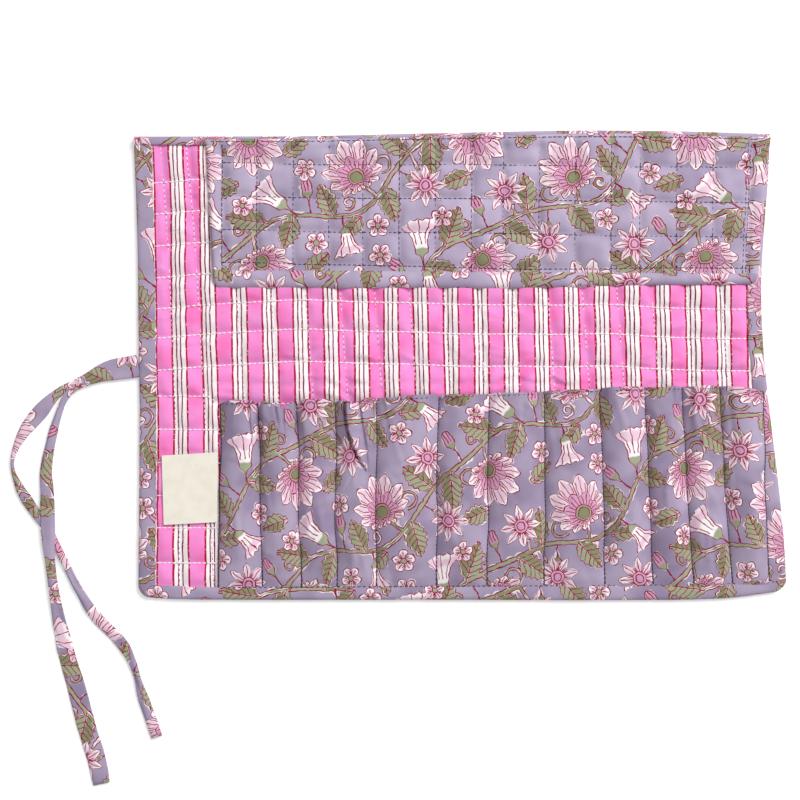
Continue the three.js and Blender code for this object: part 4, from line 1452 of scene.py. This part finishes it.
def vine(x):
    """Height of the wavy stem over the middle of its row."""
    turn = 2 * math.pi * x / REPEAT
    return VINE_SWING * math.sin(turn) + VINE_RIPPLE * math.sin(2 * turn + RIPPLE_PHASE)


def growing(x, y, degrees, length):
    """A leaf, bud or bell from its base: its middle, its heading and its length."""
    heading = math.radians(degrees)
    return (x + length / 2 * math.cos(heading), y + length / 2 * math.sin(heading), heading, length)


def on_vine(x, degrees, length):
    return growing(x, vine(x), degrees, length)


def stalk(x0, x1, y1):
    """A stalk from the stem to a flower."""
    y0 = vine(x0)
    return ((x0 + x1) / 2, (y0 + y1) / 2, math.atan2(y1 - y0, x1 - x0), math.hypot(x1 - x0, y1 - y0))


def round_one(x, y, degrees, radius):
    return (x, y, math.radians(degrees), radius)


LEAVES = [
    on_vine(-65, 66, 21), on_vine(-13, 98, 19), on_vine(19, 40, 23), on_vine(-45, -76, 20),
    on_vine(5, -42, 19), on_vine(52, -60, 22), growing(16, -25, 170, 17), growing(44, -25, 12, 18),
    growing(-26, -14, -20, 15),
]
BUDS = [on_vine(44, 84, 20), on_vine(-3, 112, 21), on_vine(-55, -118, 16)]
BELLS = [on_vine(3, 66, 27), on_vine(-17, -72, 21)]
BLOOMS = [round_one(-35, 9, 96, 23), round_one(33, -11, -86, 22)]
STARS = [round_one(62, 18, 70, 12), round_one(-64, -17.5, -60, 12)]
POSIES = [
    round_one(-13, 23, 20, 6.5), round_one(26, 23.5, 60, 6), round_one(-31, -23, 45, 6.5),
    round_one(2, -14, 10, 6.5),
]
STALKS = [stalk(-39, -35, 2), stalk(29, 33, -3), stalk(60, 62, 10), stalk(-66, -65, -9)]
CURLS = [
    round_one(-50, 5, 120, 5.5), round_one(46, -4, -30, 5), round_one(-24, -4, 150, 4),
    round_one(34, 13, 40, 4.5),
]
print("motifs in a repeat", sum(map(len, (LEAVES, BUDS, BELLS, BLOOMS, STARS, POSIES, CURLS))))

# %% Nearest copy of a motif
SIZE_UNIT = 1000  # a copy's size rides along as a third number, too small to change which is nearest
WRAP_FAR = 999  # only the first number wraps


def nearer_of(tree, first, second, choice):
    """The second vector where `choice` is 1, or else the first."""
    mix = tree.nodes.new("ShaderNodeMix")
    mix.data_type = "VECTOR"
    tree.links.new(choice.socket, mix.inputs["Factor"])
    a, b = [s for s in mix.inputs if s.type == "VECTOR" and s.name in ("A", "B")]
    tree.links.new(first, a)
    tree.links.new(second, b)
    return next(s for s in mix.outputs if s.type == "VECTOR")


def closest(tree, place, copies):
    """Coordinates along and across the nearest copy, and its size, all in millimetres."""
    upper_limit = (REPEAT / 2, WRAP_FAR, WRAP_FAR)
    lower_limit = (-REPEAT / 2, -WRAP_FAR, -WRAP_FAR)
    best, best_away = None, None
    for x, y, heading, size in copies:
        moved = vector_math(tree, "SUBTRACT", place, (x, y, -size / SIZE_UNIT)).outputs["Vector"]
        repeated = vector_math(tree, "WRAP", moved, upper_limit, lower_limit).outputs["Vector"]
        local = turned(tree, repeated, -heading)
        away = Field(tree, vector_math(tree, "LENGTH", local).outputs["Value"])
        if best is None:
            best, best_away = local, away
            continue
        best = nearer_of(tree, best, local, away.math("LESS_THAN", best_away))
        best_away = best_away.smaller(away)
    along, across, size = parts_of(tree, best)
    return along, across, size * SIZE_UNIT


print("the vine repeats after", REPEAT, "mm")

# %% [markdown]
# ## The motifs
# A carved block gives flat shapes with a pale rim and fine drawn lines. Each motif is a depth: above 0
# inside its outline, below 0 outside, in millimetres. Rims and lines are then simple steps of that depth.
# Its drawn lines are a distance, 0 on the middle of a line. Leaves, buds and bells are half widths along
# an axis, and flowers are a radius that changes with the angle.

# %% Depths of blades and petals
LEAF_SHAPE = [(0, 0), (0.1, 0.42), (0.28, 0.88), (0.42, 1), (0.65, 0.82), (0.85, 0.4), (1, 0)]
BUD_SHAPE = [(0, 0.1), (0.42, 0.12), (0.52, 0.42), (0.66, 0.62), (0.84, 0.55), (1, 0.05)]
BELL_SHAPE = [(0, 0.07), (0.26, 0.09), (0.36, 0.34), (0.5, 0.36), (0.7, 0.48), (0.88, 0.86), (1, 1)]
TOOTH_WIDTH = 1.6
STROKES_PER_PETAL, STROKE_SPREAD = 3, 0.42
HIDDEN = 9  # added to a line's distance where it isn't drawn


def blade(along, across, size, shape, width, tooth):
    """Depth inside a leaf, bud or bell, place from base to tip, half width and distance to the axis."""
    share = along / size + 0.5
    aside = abs(across)
    half = share.profile(shape) * size * width
    ends = (0.5 - abs(share - 0.5)) * size
    return (half + along.bounce(TOOTH_WIDTH) * tooth - aside).smaller(ends), share, half, aside


def petals(along, across, reach, count, depth, power):
    """Depth inside a flower, distance to its middle, and side distances to drawn strokes and petal gaps."""
    radius = (along * along + across * across).math("SQRT")
    angle = across.math("ARCTAN2", along) * (count / math.pi)
    off_axis = angle.bounce(1.0)
    arc = radius * (math.pi / count)
    strokes = (angle * STROKES_PER_PETAL).bounce(1.0) * arc * STROKE_SPREAD
    outline = reach * (1 - off_axis.math("POWER", power) * depth)
    return outline - radius, radius, strokes, (1 - off_axis) * arc


print("points of a leaf's side", len(LEAF_SHAPE))

# %% Stems and leaves
STEM_DEPTH, STALK_DEPTH, CURL_DEPTH, STEM_SLOPE = 1.35, 1.1, 0.95, 0.9
CURL_GROWTH, CURL_MIDDLE = 0.62, 0.66
VEIN_SPACING = 1.6
Leaf = namedtuple("Leaf", "depth lines sunny rib")


def stems(tree, row_x, row_y, place):
    """Depth inside the wavy stem, its stalks and its curls."""
    wave = (row_x * (2 * math.pi / REPEAT)).math("SINE") * VINE_SWING
    wave = wave + (row_x * (4 * math.pi / REPEAT) + RIPPLE_PHASE).math("SINE") * VINE_RIPPLE
    stem = STEM_DEPTH - abs(row_y - wave) * STEM_SLOPE
    along, across, size = closest(tree, place, STALKS)
    stem = stem.larger((STALK_DEPTH - abs(across)).smaller(size * 0.5 - abs(along)))
    along, across, size = closest(tree, place, CURLS)
    radius = (along * along + across * across).math("SQRT")
    spiral = (across.math("ARCTAN2", along) * (CURL_GROWTH / (2 * math.pi)) + CURL_MIDDLE) * size
    return stem.larger(CURL_DEPTH - abs(radius - spiral))


def leaves(tree, place):
    """The nearest leaf, with slanting veins, a pale rib and one side in the sun."""
    along, across, size = closest(tree, place, LEAVES)
    depth, share, _, aside = blade(along, across, size, LEAF_SHAPE, 0.26, 0.75)
    vein = abs((along - aside * 0.8).wrapped(-VEIN_SPACING, VEIN_SPACING)).larger(1.2 - depth)
    lines = vein.smaller(aside).larger(0.2 - depth)
    rib = 1.15 - aside - share * 0.9
    return Leaf(depth, lines, across.rise(-1, 1), rib.smaller(depth))


print("stem", 2 * STEM_DEPTH / STEM_SLOPE, "mm wide,", len(LEAVES), "leaves")

# %% Buds and bells
Bud = namedtuple("Bud", "depth lines share")


def buds(tree, place):
    """The nearest bud, green at its stalk."""
    along, across, size = closest(tree, place, BUDS)
    depth, share, _, aside = blade(along, across, size, BUD_SHAPE, 0.24, 0.1)
    lines = abs(aside - 0.9).larger(0.4 - depth) + (1 - share.rise(0.62, 0.66)) * HIDDEN
    return Bud(depth, lines, share)


def bells(tree, place):
    """The nearest bell flower, with a scalloped rim and flutes."""
    along, across, size = closest(tree, place, BELLS)
    depth, share, half, aside = blade(along, across, size, BELL_SHAPE, 0.4, 0)
    depth = depth - (across.bounce(2.1) - 1.6) * share.rise(0.85, 1) * 0.5
    flutes = ((aside / half).bounce(0.3) * half).larger(1 - depth)
    lines = (flutes + (1 - share.rise(0.48, 0.52)) * HIDDEN).larger(0 - depth)
    return Bud(depth, lines, share)


print("buds", len(BUDS), "and bells", len(BELLS))

# %% Flowers
Flower = namedtuple("Flower", "depth lines middle inner", defaults=(None,))


def blooms(tree, place):
    """The nearest large bloom, seen half from the side: two rounds of petals and a core."""
    along, across, size = closest(tree, place, BLOOMS)
    along = along + size * 0.25
    facing = along / (along * along + across * across + 0.01).math("SQRT")
    fan = size * (facing * 0.4 + 0.64)
    outer, radius, strokes, gap = petals(along, across, fan, 13, 0.24, 1.4)
    inner, _, inner_strokes, _ = petals(along, across, fan * 0.58, 9, 0.25, 1.6)
    core = fan * 0.27 - radius
    heart = abs(core - 1.4).larger(0.2 - core)
    lines = abs(inner).smaller(abs(core)).smaller(gap.larger(inner + 0.2)).smaller(heart)
    lines = lines.smaller(strokes.larger(inner + 1).larger(1.6 - outer))
    lines = lines.smaller(inner_strokes.larger(core + 0.7).larger(1.2 - inner)).larger(0 - outer)
    return Flower(outer, lines, core, inner)


def stars(tree, place):
    """The nearest star flower, with eight pointed petals round an eye."""
    along, across, size = closest(tree, place, STARS)
    depth, radius, strokes, gap = petals(along, across, size, 8, 0.52, 1.0)
    eye = size * 0.3 - radius
    lines = abs(eye).smaller(abs(eye - 1.5)).smaller(strokes.larger(eye + 0.6).larger(1.6 - depth))
    return Flower(depth, lines.smaller(gap.larger(eye)).larger(0 - depth), eye)


def posies(tree, place):
    """The nearest small flower, with five round petals."""
    along, across, size = closest(tree, place, POSIES)
    depth, radius, strokes, gap = petals(along, across, size, 5, 0.4, 2.2)
    dot = size * 0.24 - radius
    lines = abs(dot).smaller(gap.larger(dot)).smaller(strokes.larger(dot + 0.9).larger(1.6 - depth))
    return Flower(depth, lines.larger(0 - depth), dot)


print("blooms", len(BLOOMS), "stars", len(STARS), "small flowers", len(POSIES))

# %% [markdown]
# ## Printing it
# A block printer lays one colour after another: the dyed ground, the greens, the pinks and last the dark
# outlines. The nodes do the same, each colour over those below it through a mask. Hand printing is never
# exact, so noise shakes the outlines, lets the green slip past its rim and breaks up the inked lines.

# %% Colours of the vine
PALE, SAGE, OLIVE = (linear(c) for c in ("FBF1F4", "A1A78B", "858A69"))
PINK, BLUSH, CRIMSON = (linear(c) for c in ("D69FC0", "EBCBDC", "92093A"))


def green_layers(tree, colour, green, leaf, bud, grain, slip):
    """Stems, leaves and buds: a pale rim, mottled green, a blush rib and pink tips."""
    colour = over(tree, colour, PALE, green.rise(0, 0.15))
    leafy = over(tree, SAGE, OLIVE, (grain * 0.7 + leaf.sunny * 0.4).rise(0.35, 0.8))
    colour = over(tree, colour, leafy, (green + slip * 2.4 - leaf.sunny * 0.35).rise(1.45, 1.75))
    colour = over(tree, colour, BLUSH, leaf.rib.rise(0.3, 0.5) * 0.85)
    return over(tree, colour, PINK, bud.depth.rise(0.6, 0.8) * bud.share.rise(0.6, 0.64))


def pink_layers(tree, colour, pink, bloom, star, posy, bell, slip):
    """Flowers: pale petals, a blush towards their middles, pink inner petals and green cores."""
    colour = over(tree, colour, PALE, pink.rise(0, 0.15))
    throat = 0.16 - abs(bell.share - 0.84)
    flush = (bloom.depth * 0.1 + slip * 0.9 - 0.5).larger(star.depth * 0.15 + slip * 0.8 - 0.5)
    flush = flush.larger(posy.depth * 0.2 + slip - 0.65).larger(throat * 4 + slip - 0.6)
    colour = over(tree, colour, BLUSH, flush.rise(0.05, 0.3) * pink.rise(0.3, 0.6))
    colour = over(tree, colour, PINK, bloom.inner.larger(star.middle).rise(0.3, 0.6))
    stemmed = bell.depth.rise(0.1, 0.3) * (1 - bell.share.rise(0.42, 0.46))
    colour = over(tree, colour, SAGE, bloom.middle.larger(posy.middle).rise(0.1, 0.4).larger(stemmed))
    return over(tree, colour, OLIVE, (bloom.middle - 1.4).rise(0.1, 0.4))


print("crimson for the shader", np.round(CRIMSON[:3], 3))

# %% The print as a node group
SHAKE_SCALE, SHAKE_DETAIL, SHAKE_REACH = 0.28, 1.5, 0.95
GRAIN_SIZE, SLIP_SIZE, MOTTLE_SIZE = 2.2, 8, 26
HALO, HALO_STRENGTH = (3.7, 4.1), 0.75


def row_places(tree, cloth):
    """Coordinates along and across the nearest row of the vine, shaken a little."""
    shake = tree.nodes.new("ShaderNodeTexNoise")
    shake.inputs["Scale"].default_value = SHAKE_SCALE
    shake.inputs["Detail"].default_value = SHAKE_DETAIL
    tree.links.new(cloth, shake.inputs["Vector"])
    span, back = (2 * SHAKE_REACH, 2 * SHAKE_REACH, 0), (-SHAKE_REACH, -SHAKE_REACH, 0)
    offset = vector_math(tree, "MULTIPLY_ADD", shake.outputs["Color"], span, back).outputs["Vector"]
    moved = vector_math(tree, "ADD", cloth, offset).outputs["Vector"]
    x, y, _ = parts_of(tree, turned(tree, moved, -SLANT))
    row = (y / ROW + 0.5).math("FLOOR")
    mirror = 1 - row.wrapped(0, 2) * 2
    row_x, row_y = (x + row * ROW_SHIFT) * mirror, y - row * ROW
    combine = tree.nodes.new("ShaderNodeCombineXYZ")
    tree.links.new(row_x.socket, combine.inputs["X"])
    tree.links.new(row_y.socket, combine.inputs["Y"])
    return row_x, row_y, combine.outputs["Vector"]


def block_print():
    """A node group: a place on the cloth and two ground colours in, the printed colour out."""
    tree = bpy.data.node_groups.new("block_print", "ShaderNodeTree")
    for name, kind in (("Place", "Vector"), ("Ground", "Color"), ("Shade", "Color")):
        tree.interface.new_socket(name, in_out="INPUT", socket_type=f"NodeSocket{kind}")
    tree.interface.new_socket("Color", in_out="OUTPUT", socket_type="NodeSocketColor")
    into, out = tree.nodes.new("NodeGroupInput"), tree.nodes.new("NodeGroupOutput")
    cloth = into.outputs["Place"]
    row_x, row_y, place = row_places(tree, cloth)
    leaf, bud, bell = leaves(tree, place), buds(tree, place), bells(tree, place)
    bloom, star, posy = blooms(tree, place), stars(tree, place), posies(tree, place)
    green = stems(tree, row_x, row_y, place).larger(leaf.depth).larger(bud.depth)
    pink = bloom.depth.larger(star.depth).larger(posy.depth).larger(bell.depth)
    grain, slip = noise(tree, cloth, GRAIN_SIZE), noise(tree, cloth, SLIP_SIZE)
    mottle = noise(tree, cloth, MOTTLE_SIZE).rise(0.36, 0.66)
    colour = over(tree, into.outputs["Ground"], into.outputs["Shade"], mottle)
    colour = over(tree, colour, PALE, (green.larger(pink) + slip * 7).rise(*HALO) * HALO_STRENGTH)
    colour = green_layers(tree, colour, green, leaf, bud, grain, slip)
    colour = pink_layers(tree, colour, pink, bloom, star, posy, bell, slip)
    lines = abs(green - 0.3).smaller(leaf.lines).smaller(bud.lines) + pink.rise(-0.15, 0.05) * HIDDEN
    blossom = abs(pink - 0.25).smaller(bloom.lines).smaller(star.lines).smaller(posy.lines)
    lines = lines.smaller(blossom.smaller(bell.lines))
    ink = (0.5 - lines - grain * 0.29).rise(0, 0.14)
    tree.links.new(over(tree, colour, CRIMSON, ink), out.inputs["Color"])
    return tree


block_print_group = block_print()
print("print nodes", len(block_print_group.nodes))

# %% [markdown]
# ## Cotton
# Washed cotton is matt with a little sheen, and its weave only shows close by. The threads could be
# modelled, but there are thousands of them. A fine bump does as well at this distance: two crossed waves
# for the threads, and noise for their uneven thickness. Each cotton is a Principled shader with a colour
# from nodes, so it also holds in other light.

# %% Cotton finish
COTTON_ROUGHNESS, COTTON_SHINE, COTTON_SHEEN = 0.86, 0.2, 0.08
FINE_WEAVE, COARSE_WEAVE = 0.45, 0.6
WEAVE_STRENGTH, WEAVE_DEPTH = 0.35, 0.15
SLUB_SIZE, SLUB_SHARE = 1.3, 0.5


def cotton(name, colour_of, weave=FINE_WEAVE):
    """A cotton finish. `colour_of` makes the colour from the tree and the flat cloth coordinates."""
    material = bpy.data.materials.new(name)
    material.use_nodes = True
    tree = material.node_tree
    shader = tree.nodes["Principled BSDF"]
    shader.inputs["Roughness"].default_value = COTTON_ROUGHNESS
    shader.inputs["Specular IOR Level"].default_value = COTTON_SHINE
    shader.inputs["Sheen Weight"].default_value = COTTON_SHEEN
    place = cloth_place(tree)
    tree.links.new(colour_of(tree, place), shader.inputs["Base Color"])
    x, y, _ = parts_of(tree, place)
    height = x.bounce(weave / 2) + y.bounce(weave / 2) + noise(tree, place, SLUB_SIZE) * SLUB_SHARE
    bump = tree.nodes.new("ShaderNodeBump")
    bump.inputs["Strength"].default_value = WEAVE_STRENGTH
    bump.inputs["Distance"].default_value = WEAVE_DEPTH * MM
    tree.links.new(height.socket, bump.inputs["Height"])
    tree.links.new(bump.outputs["Normal"], shader.inputs["Normal"])
    return material


print("threads", FINE_WEAVE, "mm apart, and", COARSE_WEAVE, "mm in the label")


# %% Printed and cream cottons
def printed(ground, shade):
    """The print on a ground that is mottled with a second shade."""
    def colour_of(tree, place):
        group = tree.nodes.new("ShaderNodeGroup")
        group.node_tree = block_print_group
        group.inputs["Ground"].default_value = linear(ground)
        group.inputs["Shade"].default_value = linear(shade)
        tree.links.new(place, group.inputs["Place"])
        return group.outputs["Color"]
    return colour_of


def cream(tree, place):
    """Unbleached cotton, a little darker in places."""
    return over(tree, linear("F6F0E2"), linear("F1EADB"), noise(tree, place, 6).rise(0.35, 0.7))


print_cotton = cotton("printed_cotton", printed("B1A2BC", "9788A4"))
# The flap's copy of the print has lighter ground colours: painted light, so the flap shows lighter than the
# cover and pockets, which are the same cloth
painted_light_flap_cotton = cotton("painted_light_flap_cotton", printed("BDAFC9", "A597B2"))
print("cottons", print_cotton.name, painted_light_flap_cotton.name)

# %% [markdown]
# ## The striped lining
# The lining is a cotton with pink bands and groups of white stripes between thin dark red lines. Stripes
# could be faces of their own, but the grid would have to follow them. A colour ramp with hard steps draws
# one repeat, and wrapping the place across the cloth repeats it. Noise drawn out along the stripes makes
# their edges waver as ink does, and softer noise lets the pink vary from one quilted square to the next:
# patches of deeper rose are painted shade and patches of paler orchid are painted sheen, standing in for
# the way the quilted squares catch the light.

# %% Striped cotton
STRIPE_REPEAT, STRIPE_START = 16.35, -164.9
# ROSE is the pink in painted shade, ORCHID the pink in painted sheen
PINK_BAND, ROSE, ORCHID = "FA92D6", "FF74BC", "F6A4EA"
WHITE_BAND, EDGE_LINE, THIN_LINE = "FFF3F7", "B3123A", "7C2236"
STRIPES = [  # where a stripe starts in the repeat, and its colour
    (0, PINK_BAND), (7.5, EDGE_LINE), (8.5, WHITE_BAND), (10.1, THIN_LINE), (10.8, WHITE_BAND),
    (12.45, THIN_LINE), (13.15, WHITE_BAND), (15.35, EDGE_LINE),
]
ALONG_STRIPE = (1, 0.35, 1)
FINE_WAVER, BROAD_WAVER, MEAN_WAVER = (3.2, 0.9), (17, 1.6), 1.25


def stripe_ramp(tree, phase):
    """The colours of one repeat, with hard steps."""
    ramp = tree.nodes.new("ShaderNodeValToRGB")
    ramp.color_ramp.interpolation = "CONSTANT"
    elements = ramp.color_ramp.elements
    while len(elements) < len(STRIPES):
        elements.new(0.5)
    for element, (start, code) in zip(elements, STRIPES):
        element.position = start / STRIPE_REPEAT
        element.color = linear(code)
    tree.links.new(phase.socket, ramp.inputs["Fac"])
    return ramp.outputs["Color"]


def striped(tree, place):
    """Wavering stripes, pink with patches of painted shade and painted sheen, and lines worn in places."""
    x, _, _ = parts_of(tree, place)
    drawn_out = vector_math(tree, "MULTIPLY", place, ALONG_STRIPE).outputs["Vector"]
    fine, broad = (noise(tree, drawn_out, size) * reach for size, reach in (FINE_WAVER, BROAD_WAVER))
    phase = (x + (fine + broad) - MEAN_WAVER - STRIPE_START).wrapped(0, STRIPE_REPEAT) / STRIPE_REPEAT
    in_pink = phase.rise(0.004, 0.012) * (1 - phase.rise(0.46, 0.468))
    # Painted shade in deeper rose patches and painted sheen in paler orchid patches, on the pink bands only
    painted_shade = noise(tree, place, 21).rise(0.42, 0.68) * 0.75
    pale = noise(tree, place, 13).rise(0.5, 0.75) * 0.55
    worn = noise(tree, place, 1.3).rise(0.6, 0.68) * (1 - in_pink) * 0.6
    colour = over(tree, stripe_ramp(tree, phase), linear(ROSE), in_pink * painted_shade)
    colour = over(tree, colour, linear(ORCHID), in_pink * pale)
    return over(tree, colour, linear(WHITE_BAND), worn)


stripe_cotton = cotton("striped_cotton", striped)
cream_cotton = cotton("cream_cotton", cream, COARSE_WEAVE)
print("stripes", len(STRIPES), "in", STRIPE_REPEAT, "mm")

# %% [markdown]
# ## Thread
# Sewing thread is smoother than the cloth, with fibres that lie a little lighter and darker. A plain
# colour would make the stitches look like plastic, so very fine noise mixes two shades. It uses object
# coordinates, because the stitches have no flat pattern.

# %% Thread finish, and every piece's finish
THREAD_ROUGHNESS, THREAD_SHINE, FIBRE_SIZE = 0.7, 0.25, 0.0008


def thread_finish(name, light, dark):
    """Thread in two shades."""
    material = bpy.data.materials.new(name)
    material.use_nodes = True
    tree = material.node_tree
    shader = tree.nodes["Principled BSDF"]
    shader.inputs["Roughness"].default_value = THREAD_ROUGHNESS
    shader.inputs["Specular IOR Level"].default_value = THREAD_SHINE
    where = tree.nodes.new("ShaderNodeTexCoord").outputs["Object"]
    fibre = noise(tree, where, FIBRE_SIZE).rise(0.4, 0.7)
    tree.links.new(over(tree, linear(light), linear(dark), fibre), shader.inputs["Base Color"])
    return material


def dress(objects, *finishes):
    """Gives objects their finishes, in the order of the faces' material numbers."""
    for obj in objects:
        for finish in finishes:
            obj.data.materials.append(finish)


dress(quilts, stripe_cotton, print_cotton)
dress(flaps, painted_light_flap_cotton, stripe_cotton)
dress(pockets, print_cotton, print_cotton)
dress([*borders, tie_under, tie_over], print_cotton)
dress([label], cream_cotton, cream_cotton)
dress(threads["white"], thread_finish("white_thread", "FBF4F6", "E9DDE4"))
# The slate is partly the thread's own colour and partly painted shade: it is darker than the thread, for
# the ditch each seam sinks into
dress(threads["slate"], thread_finish("slate_thread", "453E54", "322C3E"))
print("materials", [m.name for m in bpy.data.materials])

# %% [markdown]
# ## The table
# The roll lies on a white sheet that is lit until it shows as pure white. A very strong lamp would do
# that too, but it would bleach the cloth. So the table has a little light of its own, which only the
# camera sees and which lights nothing. It grows with the distance, so the far table stays white as well.

# %% Table
TABLE_HALF, TABLE_TOP = 3000, -0.2
TABLE_GREY, TABLE_ROUGHNESS, TABLE_SHINE = (0.9, 0.9, 0.9, 1), 0.9, 0.1
TABLE_LIFT, FAR_LIFT, FAR_RANGE = 0.32, 0.7, (0.8, 2.4)
WHITE = (1, 1, 1, 1)

signs = ((-1, -1), (1, -1), (1, 1), (-1, 1))
corners = [(x * TABLE_HALF, y * TABLE_HALF, TABLE_TOP) for x, y in signs]
floor = new_object("table", corners, [(0, 1, 2, 3)])
table = bpy.data.materials.new("white_table")
table.use_nodes = True
tree = table.node_tree
shader = tree.nodes["Principled BSDF"]
shader.inputs["Base Color"].default_value = TABLE_GREY
shader.inputs["Roughness"].default_value = TABLE_ROUGHNESS
shader.inputs["Specular IOR Level"].default_value = TABLE_SHINE
shader.inputs["Emission Color"].default_value = WHITE
where = tree.nodes.new("ShaderNodeTexCoord").outputs["Object"]
away = Field(tree, vector_math(tree, "LENGTH", where).outputs["Value"])
seen = Field(tree, tree.nodes.new("ShaderNodeLightPath").outputs["Is Camera Ray"])
lift = seen * (away.rise(*FAR_RANGE) * FAR_LIFT + TABLE_LIFT)
tree.links.new(lift.socket, shader.inputs["Emission Strength"])
dress([floor], table)
print("table", 2 * TABLE_HALF / 1000, "m wide")

# %% [markdown]
# ## Light
# The quilting is only seen by its shading. A small lamp would give hard black folds, and light from all
# sides would give none. A wide round lamp high above the upper right corner shades every crown softly
# to one side, and even white surroundings fill the shadows.

# %% Lamp and surroundings
LAMP_WIDTH, LAMP_POWER, LAMP_PLACE = 2.1, 113, (1.8, 1.86, 2.55)
ROOM_LIGHT = 0.45

lamp_data = bpy.data.lights.new("soft_lamp", "AREA")
lamp_data.shape = "DISK"
lamp_data.size = LAMP_WIDTH
lamp_data.energy = LAMP_POWER
lamp = bpy.data.objects.new("soft_lamp", lamp_data)
lamp.location = LAMP_PLACE
lamp.rotation_euler = (-lamp.location).to_track_quat("-Z", "Y").to_euler()
bpy.context.scene.collection.objects.link(lamp)
world = bpy.data.worlds.new("white_room")
bpy.context.scene.world = world
world.use_nodes = True
room = world.node_tree
background = room.nodes["Background"]
background.inputs["Color"].default_value = WHITE
seen = Field(room, room.nodes.new("ShaderNodeLightPath").outputs["Is Camera Ray"])
strength = seen * (1 - ROOM_LIGHT) + ROOM_LIGHT
room.links.new(strength.socket, background.inputs["Strength"])
bpy.context.scene.view_settings.view_transform = "Standard"
print("lamp", round(lamp.location.length, 2), "m away")

# %% [markdown]
